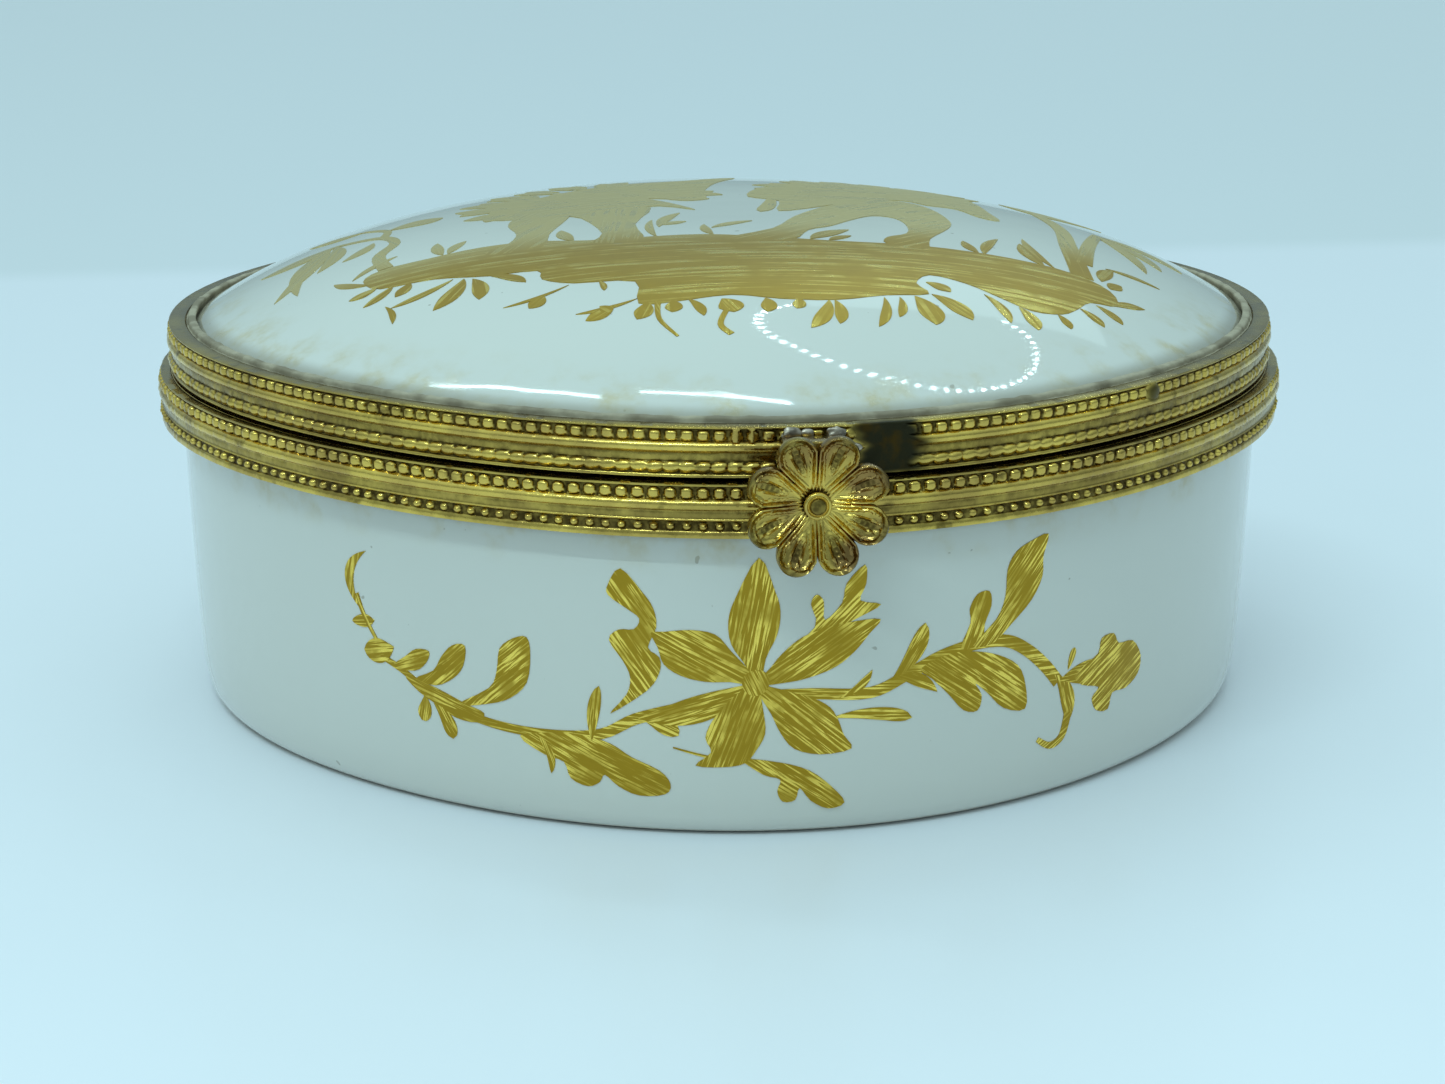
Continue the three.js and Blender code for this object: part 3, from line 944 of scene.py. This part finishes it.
def gild(name, shapes, place, body, material, lift=0.05):
    """Lays flat outlines on the glaze as one thin film. Later shapes lie over earlier ones."""
    flat, triangles, owners = cut_out(shapes)
    count, total = len(flat), len(triangles)
    solid = np.vstack([place(flat, lift), place(flat, -lift)])
    made = piece(name, solid, both_sides(triangles, count), material, body, "bright_brass")
    layer = made.data.uv_layers.new(name="strokes")
    for polygon in made.data.polygons:
        owner = int(owners[polygon.index % total]) if polygon.index < 2 * total else 0
        turn = shapes[owner][1]
        for loop in polygon.loop_indices:
            u, v = flat[made.data.loops[loop].vertex_index % count]
            layer.data[loop].uv = (
                u * math.cos(turn) + v * math.sin(turn) + 7.3 * owner,
                v * math.cos(turn) - u * math.sin(turn),
            )


def on_wall(flat, lift):
    """Places (along, height) on the bowl's wall."""
    along, height = flat[:, 0], flat[:, 1]
    angle = along / WALL_RADIUS
    return around(wall_radius(height) + lift, angle, height)


def on_dome(flat, lift):
    """Places (x, y) on the dome."""
    angle = np.arctan2(flat[:, 0], -flat[:, 1])
    share = np.hypot(flat[:, 0], flat[:, 1]) / (DOME_RADIUS * plan(angle))
    height = dome_height(share, DOME_HIGH.z, DOME_EDGE) + lift
    return np.stack([flat[:, 0], flat[:, 1], height], axis=-1)


def left_branch():
    """A stem with leaves and a bud, from the flower out."""
    return [
        stem([(-9, 9.8), (-12, 8.9), (-14.5, 7.6), (-18, 7.2), (-22, 7.3), (-25.5, 7.9), (-28.5, 9),
            (-31, 10.3), (-33.5, 11.2)], 0.9, 0.45),
        blot([(-20.8, 6.8), (-18.9, 5.6), (-17.4, 5.2), (-16.9, 4), (-15.6, 3.5), (-14.7, 3.9),
            (-14.3, 4.5), (-13.3, 3.7), (-11.8, 3.1), (-9.9, 3.3), (-9.5, 4.1), (-10.3, 5.1),
            (-12.3, 6), (-13.8, 6.9), (-15.8, 7.4), (-17.8, 7.4)], -25),
        leaf((-19.4, 7), (-18.4, 4.2), 0.6, 0.15, 0.6, 0.6),
        leaf((-15.2, 7), (-14.6, 11.2), 0.95, 0.04, 0.6, 0.7),
        leaf((-11.4, 8.9), (-8.9, 7.8), 1.3, 0.1, 0.6, 0.8),
        blot([(-21.1, 14.1), (-20, 14.3), (-19.75, 13), (-20.1, 10.9), (-21.4, 9.6), (-23.2, 8.9),
            (-26, 8.4), (-23.2, 10.1), (-22.5, 11.5), (-22.2, 13.2)], 40),
        blot([(-25.1, 13), (-25.3, 11.5), (-26.2, 10.4), (-27.8, 9.6), (-29.7, 9.8), (-28, 10.7),
            (-27.2, 11.9), (-26.2, 12.9)], 40),
        blot([(-28.3, 12.1), (-28.6, 11.2), (-29.7, 10.4), (-31.8, 10.4), (-30.5, 11.4),
            (-29.5, 12.1)], 20),
        blot([(-30.6, 9.9), (-27.8, 9.4), (-25.3, 8.6), (-23.7, 8.1), (-24.3, 7.3), (-26.2, 7.4),
            (-28, 8.2), (-29.5, 8.9)], -15),
        leaf((-28.9, 8.7), (-29.3, 6.7), 1.2, 0.1, 0.65, 0.9),
        leaf((-28.1, 8.2), (-26.5, 5.7), 1.2, 0.12, 0.7, 0.9),
        leaf((-31.6, 11.9), (-34.6, 11.2), 1.9, 0.06, 0.55, 0.7),
        leaf((-33.4, 13.6), (-35.7, 13.2), 1, 0, 0.4, 0.6),
        stem([(-33.3, 12.2), (-34.4, 13.8), (-35.1, 15.4)], 0.3, 0.45),
        leaf((-34.9, 14.4), (-33.9, 18.8), 0.9, 0.3, 0.5, 0.1),
    ]


def sprigs():
    """The curled leaf beside the flower, and the sprigs below and above it."""
    return [
        blot([(-12.9, 20), (-13.8, 18.8), (-13.8, 18), (-12.5, 17.1), (-11.6, 16.4), (-12, 15.6),
            (-13.1, 15.5), (-13.8, 14.7), (-12.8, 13.2), (-12.3, 12), (-12.6, 10.7), (-13.8, 9.2),
            (-11.1, 11.1), (-10.2, 12.5), (-10.2, 13.6), (-11, 14.3), (-10.4, 15.8), (-10.6, 17.2),
            (-11.4, 18.4)], -55),
        stem([(-9.3, 6.9), (-7, 6.3), (-4.5, 5.8)], 0.1, 0.3),
        blot([(-4.4, 6.1), (-1.7, 5.8), (0.4, 5.1), (2, 3.8), (3, 2.5), (1.8, 2.1), (0.5, 2.8),
            (-0.3, 3.8), (-0.6, 2.9), (-1.5, 2.8), (-1.9, 3.6), (-1.7, 4.5), (-2.9, 4.9)], -35),
        blot([(-1.9, 13.5), (0.6, 15.8), (0.3, 17.5), (0.7, 18.2), (1.2, 17.7), (1.3, 16.3),
            (2.5, 17.5), (2.8, 18.9), (4.1, 20.2), (4.2, 18.8), (3.8, 17.6), (5.3, 17.2),
            (3.8, 16.4), (2.1, 15.6), (0.3, 14.4)], 45),
    ]


def right_branch():
    """A stem with leaves, from the flower out, and the bud at its end."""
    return [
        stem([(-2.5, 10.9), (0.5, 10.9), (4.7, 10.7), (7.5, 11.8), (10.1, 12.9), (13, 13.4),
            (15.5, 13.2), (17.4, 12.2), (19.2, 10.7), (20.6, 9.2)], 0.8, 1),
        leaf((2.4, 10.5), (4.8, 12.4), 0.6, -0.12, 0.6, 0.2),
        leaf((1.9, 9), (7.9, 8.5), 1, 0.06, 0.75, 0.8),
        leaf((6.3, 11.6), (8.7, 15.5), 1.3, -0.1, 0.65, 0.7),
        leaf((6.6, 11.7), (9.8, 10.2), 1, 0.1, 0.5, 0.2),
        blot([(11.6, 13.2), (12.3, 15), (12.2, 16.1), (12.8, 17.1), (13.8, 17.2), (14, 16.1),
            (13.5, 14.8), (13.3, 13.4)], 70),
        blot([(12.6, 13.3), (14.5, 15), (15.2, 16.6), (15.3, 18.6), (16, 19.8), (17.3, 20.4),
            (18.9, 20.7), (18.5, 19.1), (18.5, 17.6), (17.6, 16), (15.9, 14.5), (14.2, 13.2)], 50),
        blot([(8.4, 12.1), (10.5, 12.9), (12.4, 12.9), (14.7, 12.3), (16.6, 11.2), (17.4, 9.6),
            (17.5, 7.7), (15.5, 8.1), (14, 9.5), (12.9, 10.4), (13.5, 9.4), (13.2, 8.3), (12, 8.5),
            (10.8, 9.8), (9.4, 11.2)], -35),
        leaf((20.2, 9.8), (21.8, 5.5), 1.4, 0.16, 0.55, 0.2),
        stem([(21.9, 6.6), (21.4, 4.8), (20.2, 4.3), (18.9, 5)], 0.8, 0.4),
        leaf((21.6, 9.9), (22.2, 11.5), 0.6, 0, 0.7, 0.8),
        leaf((20.8, 9.2), (25.5, 9), 1.9, 0.05, 0.75, 0.8),
        blot([(22.4, 9.2), (23.4, 9.9), (24.9, 10.5), (25.2, 11.6), (26.6, 11.7), (27.3, 10.8),
            (29.1, 10.6), (30.3, 9.2), (30.1, 7.8), (28.6, 7), (26.9, 7), (26.5, 5.8), (25.1, 6),
            (24.5, 7.1), (25.2, 7.8), (23.2, 8.4)], 30),
    ]


def painted_flower():
    """Six petals, and the flower's eye."""
    return [
        blot([(-3.3, 21), (-2.2, 18.6), (-1.8, 17.1), (-2, 15.4), (-2.8, 13.6), (-3.2, 11.6),
            (-4.3, 13.3), (-5.2, 14.7), (-5.4, 16.4), (-4.9, 18.1)], 80),
        blot([(-10.8, 15.4), (-9.9, 15.5), (-8, 15.7), (-6.3, 15.4), (-5.2, 14.2), (-3.3, 11.8),
            (-5.3, 11.9), (-7, 11.9), (-8.7, 12.3), (-9.9, 13.1), (-10.3, 14.3)], -28),
        leaf((-3.6, 11.8), (-11.8, 9), 2, 0.07, 0.5, 0.1),
        blot([(-4, 11.6), (-5.4, 10.4), (-6.5, 9), (-7, 7.7), (-6.6, 6.6), (-7.7, 5.6), (-5.7, 5.5),
            (-4.2, 5.8), (-3.4, 6.8), (-2.8, 8), (-2.9, 9.5), (-3.3, 11.4)], 70),
        blot([(-3.4, 11.6), (-2.4, 9.5), (-1.7, 8), (-0.7, 6.8), (1.2, 6.3), (3.4, 6.6), (2.8, 7.7),
            (2.4, 8.8), (1.8, 9.8), (0.7, 10.5), (-0.7, 11)], -40),
        blot([(-3.4, 11.7), (-2.4, 13), (-1.7, 13.9), (-0.3, 15.1), (1.6, 15.8), (3.5, 16.1),
            (5.3, 16.1), (4.5, 15.1), (3.5, 13.9), (2.1, 12.8), (0.2, 12.1), (-1.4, 11.8)], 35),
        blot([(-2.5, 11.8), (-2.8, 12.6), (-3.6, 12.8), (-4.3, 12.3), (-4.4, 11.5), (-3.8, 10.9),
            (-3, 11)], 115),
    ]


def base_painting(material):
    """A six-petalled flower on a branch with leaves and buds."""
    shapes = left_branch() + sprigs() + right_branch() + painted_flower()
    gild("bowl_gilding", shapes, on_wall, "base", material)


def foliage(centre, radius, directions):
    """Leaves that point out from a tree's crown, in directions in degrees from +X."""
    leaves = []
    for i, direction in enumerate(directions):
        way = np.array([math.cos(math.radians(direction)), math.sin(math.radians(direction))])
        reach = radius * (0.85, 1, 0.92)[i % 3]
        start = np.array(centre) + way * reach * 0.7
        leaves.append(leaf(start, start + way * 4.2, 2, (-0.1, 0.12)[i % 2], 0.55, 0.3))
    return leaves


def ground():
    """The strip of ground that all else on the lid grows from."""
    return [blot([
        (-29.2, -11.8), (-27.8, -10.4), (-24, -10.4), (-20, -10), (-16, -10.3), (-12, -11.6),
        (-8, -11.7), (-3, -11.6), (2, -13.2), (7, -14.7), (13, -15.3), (20, -16.3), (25, -17.3),
        (27.4, -19.2), (27.3, -21.8), (25, -22.6), (23.6, -24.4), (22, -26), (19.5, -26.6),
        (17.2, -25.2), (15.2, -23.6), (12.6, -22.6), (11.2, -24.6), (11.8, -26.4), (8.5, -27.2),
        (4.5, -28.4), (0.5, -28.2), (-3, -27.2), (-7, -27.6), (-9.8, -27.2), (-9.6, -23.2),
        (-14, -22), (-16.2, -20.2), (-16.4, -18.2), (-20, -17.5), (-24, -15.6), (-28, -14.5),
    ], -3)]


def trees():
    """Two trees, each on two trunks, with leaves round their crowns."""
    trunks_and_crowns = [
        blot([(-20, -12.4), (-17.9, -10), (-17.1, -7.2), (-17.5, -3.9), (-16.8, -1.3), (-14.6, 1),
            (-12.4, -0.2), (-12.8, -3), (-14.6, -8.2), (-15.6, -12.4)], 60),
        blot([(-11.6, -12.6), (-10.6, -9.4), (-11.6, -2.8), (-13.2, -0.8), (-9, 2), (-5.6, 0.9),
            (-7.7, -6.4), (-7.8, -12.6)], 80),
        blot([(-16.8, -1.4), (-19.2, 0.2), (-18.4, 3.4), (-18.6, 6.3), (-14.7, 8.6), (-10.4, 12.9),
            (-6, 15.6), (-1, 16.8), (4, 20.4), (1.4, 14.2), (-0.2, 9), (-0.9, 4.4), (-5.2, 5.6),
            (-4, 3.4), (-2.2, -0.6), (-4.8, 1.6), (-9, 0.2), (-12.2, -1.6)], 20),
        blot([(-1.5, -13.4), (2.7, -9.9), (5.2, -4.9), (8.3, -0.5), (12.6, 3.6), (15.6, 2.4),
            (17.1, -0.7), (17.6, -5.8), (16.9, -8.8), (14.6, -12.9), (13.6, -16.4), (10.8, -15),
            (11.2, -13), (13, -11.5), (13.6, -8.5), (13.2, -5.6), (11.5, -4.7), (9.4, -6.7),
            (7.4, -9.1), (5.4, -10.6), (3.4, -14.2)], 40),
        leaf((4.8, 6), (2.9, -2.2), 1.3, 0.05, 0.8, 0.9),
        blot([(4.4, -2), (5.2, 3), (3, 5.6), (4.2, 9.6), (6.6, 12.4), (9.4, 15.4), (13, 16.6),
            (17.4, 14), (20.4, 10.6), (22, 6.6), (22.1, 0), (22.2, -3.6), (20.6, -2.8), (19.4, 0.4),
            (17.2, 1.4), (15.6, 3.4), (12, 2.8), (8.2, -0.2)], -10),
    ]
    left_leaves = foliage((-9, 8), 8.5, range(-20, 200, 13))
    left_leaves += foliage((-13.5, 4.5), 5.5, range(80, 250, 18))
    return trunks_and_crowns + left_leaves + foliage((13.5, 9), 8, range(-50, 190, 13))


def young_trees():
    """A young tree at each end of the ground."""
    return [
        stem([(-27.4, -10.2), (-27.8, -6.4), (-26.4, -3), (-27.4, 0.4), (-31, 2.4)], 1.2, 0.6),
        stem([(-27.2, 0.2), (-26.8, 3.2), (-28.6, 6.2)], 0.8, 0.4),
        leaf((-31, 2.4), (-34.2, -9.4), 1.4, -0.1),
        leaf((-31.4, 2.2), (-36, -8.8), 1.5, 0.05),
        leaf((-31, 2.4), (-32.6, -5.4), 1.5, 0.1),
        leaf((-30.8, 2.6), (-37, 1), 2.2, 0.1),
        leaf((-28.6, 6.2), (-33, 7.6), 1.8, 0.1),
        leaf((-26.6, 3.2), (-22.2, 4.4), 2.6, 0, 0.6),
        leaf((-28, -1), (-30.6, -4.6), 1.2, 0.1),
        stem([(25.6, -17.6), (26.4, -10), (27.4, -3), (27.2, 4)], 1.8, 1),
        stem([(26.6, -14), (28.6, -7.6), (31, -1)], 1.4, 0.8),
        leaf((30.6, -1.4), (37, -5.4), 2, 0.18),
        leaf((30.6, -1.4), (34.4, -8.6), 1.6, 0.1),
        leaf((30.6, -1.4), (32.4, -11.4), 1.3, 0.06),
        leaf((27.2, 3.6), (33, 5.4), 2.2, 0.14),
        leaf((27.2, 3.6), (25.4, 11), 2.4, -0.08),
        leaf((27.2, 3.6), (31.4, 10.2), 2.2, 0.08),
    ]


def standing_plants():
    """Leaves that stand on the ground."""
    rows = [
        ((-23, -10.2), (-23.2, -6.4), 1), ((-22.6, -10.2), (-21, -7.2), 0.9),
        ((-30, -10.8), (-26.4, -7.6), 0.7), ((-13, -11.4), (-13.6, -7.4), 1.2),
        ((-6.6, -11.8), (-6.2, -5), 0.7), ((-6, -8), (-3.6, -2), 1), ((-5.6, -7.2), (-3.6, -6), 1),
        ((-2.2, -11.8), (-2.4, -7.6), 0.8), ((-2, -9), (1.6, -6.4), 0.9),
        ((5, -14), (8.6, -10.6), 1.5), ((6.4, -14.4), (8.4, -12.8), 0.9),
        ((17.8, -16), (17.2, -12.8), 0.9), ((18.2, -16.2), (20.4, -11), 0.9),
        ((22.8, -17), (22, -11.6), 1.3), ((23.6, -17), (22.6, -9.8), 0.8),
        ((27.2, -17.4), (29, -13.8), 1.2), ((27.6, -18.6), (28.8, -17.2), 1.2),
        ((28.4, -13.8), (32.6, -14.6), 0.7),
    ]
    return [leaf(*row, 0.06) for row in rows]


def hanging_plants():
    """Leaves and two tendrils that hang from the ground's lower edge."""
    rows = [
        ((-28.6, -13), (-31.4, -10.2), 0.8), ((-28.2, -14), (-30.4, -14.8), 1),
        ((-27, -14.6), (-29.4, -17), 0.9), ((-25.8, -15), (-27, -17), 1.1),
        ((-22.6, -16.6), (-27.4, -18.8), 0.8), ((-27.8, -18.2), (-27.4, -21.4), 0.5),
        ((-21.8, -17), (-24.4, -21.4), 1.5), ((-21.2, -17.4), (-21, -21.6), 1.3),
        ((-20, -17.4), (-17.4, -20.2), 1), ((-18.2, -17.6), (-15.8, -18), 0.9),
        ((-14.4, -22.2), (-19.4, -24), 0.4), ((-16.4, -23.4), (-17.6, -25), 1.3),
        ((-12.2, -22.2), (-12, -24.2), 0.5), ((-9.8, -26.4), (-14.4, -27.4), 0.5),
        ((-11.6, -27), (-13.8, -28.6), 1.3), ((-12.6, -26.8), (-12, -28), 1),
        ((-9.2, -27.2), (-10.2, -29.6), 1.4), ((-7.4, -27.4), (-7.6, -29.2), 1.3),
        ((-6.2, -27.4), (-5.4, -30.2), 0.8), ((-3.8, -27.8), (-3.2, -30), 1.9),
        ((-0.6, -28), (-0.8, -30.2), 1.2), ((1.8, -28.2), (1.4, -29.8), 1),
        ((4, -28.4), (2, -32.6), 1.2), ((4.4, -28.4), (4.2, -32), 1),
        ((8.2, -27.6), (7, -32.2), 0.8), ((9.4, -27.4), (8.8, -30.6), 0.7),
        ((10.6, -27), (11.4, -31.2), 1.9), ((12, -26.4), (14.4, -29.8), 1.6),
        ((12, -24.2), (13.6, -25.6), 1.2), ((16.2, -25.2), (17.4, -29.2), 0.9),
        ((18.6, -26.4), (19.4, -29.4), 1.2), ((21.6, -26.2), (22.2, -28), 0.8),
        ((23.8, -24.2), (25.2, -26.2), 0.9), ((25.4, -22.8), (27, -24.8), 0.9),
        ((26.8, -22), (29.8, -20.6), 0.9),
    ]
    return [leaf(*row, 0.08, 0.6) for row in rows] + [
        stem([(-8.4, -27.2), (-8.6, -30), (-7.6, -32.6)], 0.5, 0.2),
        stem([(-3.6, -29.4), (-4.4, -31.6), (-3.8, -33)], 0.4, 0.5),
    ]


def lid_painting(material):
    """A strip of ground with two trees, and plants above and below it."""
    shapes = ground() + trees() + young_trees() + standing_plants() + hanging_plants()
    gild("dome_gilding", shapes, on_dome, "lid", material)


# ---- Stage, in metres ----

FLOOR_HALF = 4.0
LAMP_WIDTH = 0.006  # of the tubes behind the box and of each lamp in the ring
CEILING = 0.7  # the height of most lamps
RING_LAMPS = 56  # the ring that the lid reflects
RING_CENTRE = (0.3, 0.545)
RING_HALF_AXES = (0.185, 0.27)
SKY_AXIS = (-0.12, 0.0, 0.99)  # towards the brightest part
SKY_DIM, SKY_BRIGHT = 0.37, 1.02


def stage_floor():
    """A pale floor with a quieter tone behind the box, from about 188 mm back."""
    look = Look("pale_floor", roughness=0.32)
    behind = look.ramp(look.across("Y"), 182, 196)
    tone = look.mix(look.noise(60, 2), FLOOR, scaled(FLOOR, 0.985))
    look.colour(look.mix(behind, tone, BACKDROP))
    look.bump(look.noise(14, 3), 0.05)
    mesh = bpy.data.meshes.new("stage_floor")
    square = [(-1, -1), (1, -1), (1, 1), (-1, 1)]
    mesh.from_pydata([(x * FLOOR_HALF, y * FLOOR_HALF, 0) for x, y in square], [], [(0, 1, 2, 3)])
    mesh.materials.append(look.material)
    in_scene("stage_floor", mesh)


def lamp(name, place, size, power, turn=0.0):
    """A flat lamp that shines straight down. A single size makes it round."""
    data = bpy.data.lights.new(name, "AREA")
    data.shape = "RECTANGLE" if len(size) == 2 else "DISK"
    data.size = size[0]
    data.size_y = size[-1]
    data.energy = power
    data.color = LIGHT
    light = in_scene(name, data)
    light.location = place
    light.rotation_euler.z = math.radians(turn)
    light.visible_camera = False


def lights():
    """Tubes behind and in front of the box, and a soft panel and a ring of lamps behind it."""
    lamp("long_tube", (-0.222, 0.328, CEILING), (0.26, LAMP_WIDTH), 0.16, -44)
    lamp("short_tube", (0.01, 0.203, CEILING), (0.19, LAMP_WIDTH), 0.12, -23)
    lamp("front_tube", (-0.22, -0.42, 0.6), (0.4, 0.01), 1.7, -20)
    lamp("far_panel", (0.42, 0.98, CEILING), (0.45, 0.5), 0.4)
    for i in range(RING_LAMPS):
        turn = i * 2 * math.pi / RING_LAMPS
        x = RING_CENTRE[0] + RING_HALF_AXES[0] * math.cos(turn)
        y = RING_CENTRE[1] + RING_HALF_AXES[1] * math.sin(turn)
        lamp(f"ring_lamp_{i}", (x, y, CEILING), (LAMP_WIDTH,), 0.0075)


def sky():
    """Soft light from all round, stronger from above and a little to the left."""
    world = bpy.data.worlds.new("soft_studio")
    world.use_nodes = True
    tree = world.node_tree
    direction = tree.nodes.new("ShaderNodeTexCoord")
    upward = tree.nodes.new("ShaderNodeVectorMath")
    upward.operation = "DOT_PRODUCT"
    upward.inputs[1].default_value = SKY_AXIS
    ramp = tree.nodes.new("ShaderNodeMapRange")
    ramp.interpolation_type = "SMOOTHSTEP"
    limits = {"From Min": 0.0, "From Max": 0.95, "To Min": SKY_DIM, "To Max": SKY_BRIGHT}
    for label, value in limits.items():
        ramp.inputs[label].default_value = value
    background = tree.nodes["Background"]
    background.inputs["Color"].default_value = (*LIGHT, 1)
    tree.links.new(direction.outputs["Generated"], upward.inputs[0])
    tree.links.new(upward.outputs["Value"], ramp.inputs["Value"])
    tree.links.new(ramp.outputs[0], background.inputs["Strength"])
    bpy.context.scene.world = world
    bpy.context.scene.view_settings.view_transform = "Standard"


def camera():
    """A long lens, low in front of the box and a little to its left. Its sizes are in mm."""
    distance, azimuth, elevation = 269.5, math.radians(-7.87), math.radians(17.3)
    level = distance * math.cos(elevation)
    x, y = level * math.sin(azimuth), -level * math.cos(azimuth)
    place, aim = Vector((x, y, distance * math.sin(elevation))), Vector((0.12, 0, 10.35))
    data = bpy.data.cameras.new("camera")
    data.sensor_width = 36
    data.lens = 79.98
    made = in_scene("camera", data)
    made.location = place * MM
    made.rotation_euler = (aim - place).to_track_quat("-Z", "Y").to_euler()
    bpy.context.scene.camera = made


# ---- The box ----

bowl(porcelain("bowl_porcelain", BASE_STRIP_LOW.z, BASE_STRIP_LOW.z - 3.5, foot=True))
dome(porcelain("dome_porcelain", DOME_EDGE, DOME_EDGE + 3))
cement_beds(cement_look())

strip_brass = brass("strip_brass", tarnished=0.3)
base_strip(strip_brass)
lid_strip(strip_brass)
rim("base_rim", "base_collar", "base", 2.4, -1, strip_brass)
rim("lid_rim", "lid_collar", "lid", 1.4, 1, strip_brass)

for body_name, nodes in KNUCKLES.items():
    for node_name in nodes:
        knuckle(node_name, body_name, strip_brass)
hinge_pin(metal_look("pin_steel", STEEL, 0.35))
softened("base_leaf", "base_hinge_plate", "base", 0.12, strip_brass)
softened("lid_leaf", "lid_hinge_plate", "lid", 0.12, strip_brass)

daisy_brass = brass("daisy_brass", patches=0.8, tarnished=0.85)
daisy(daisy_brass)
boss(daisy_brass)
softened("tongue", "clasp_tongue", "clasp", 0.15, daisy_brass)
softened("nib", "catch_nib", "base", 0.12, daisy_brass)
solder(metal_look("tin_solder", SOLDER, 0.3))

base_painting(gilding("bowl_gold", GOLD_FIELD, GOLD_STROKE, length=4, width=0.2))
lid_painting(gilding("dome_gold", GOLD_FIELD, GOLD_WORN, length=16, width=0.5, thin_from=-15))

stage_floor()
lights()
sky()
camera()
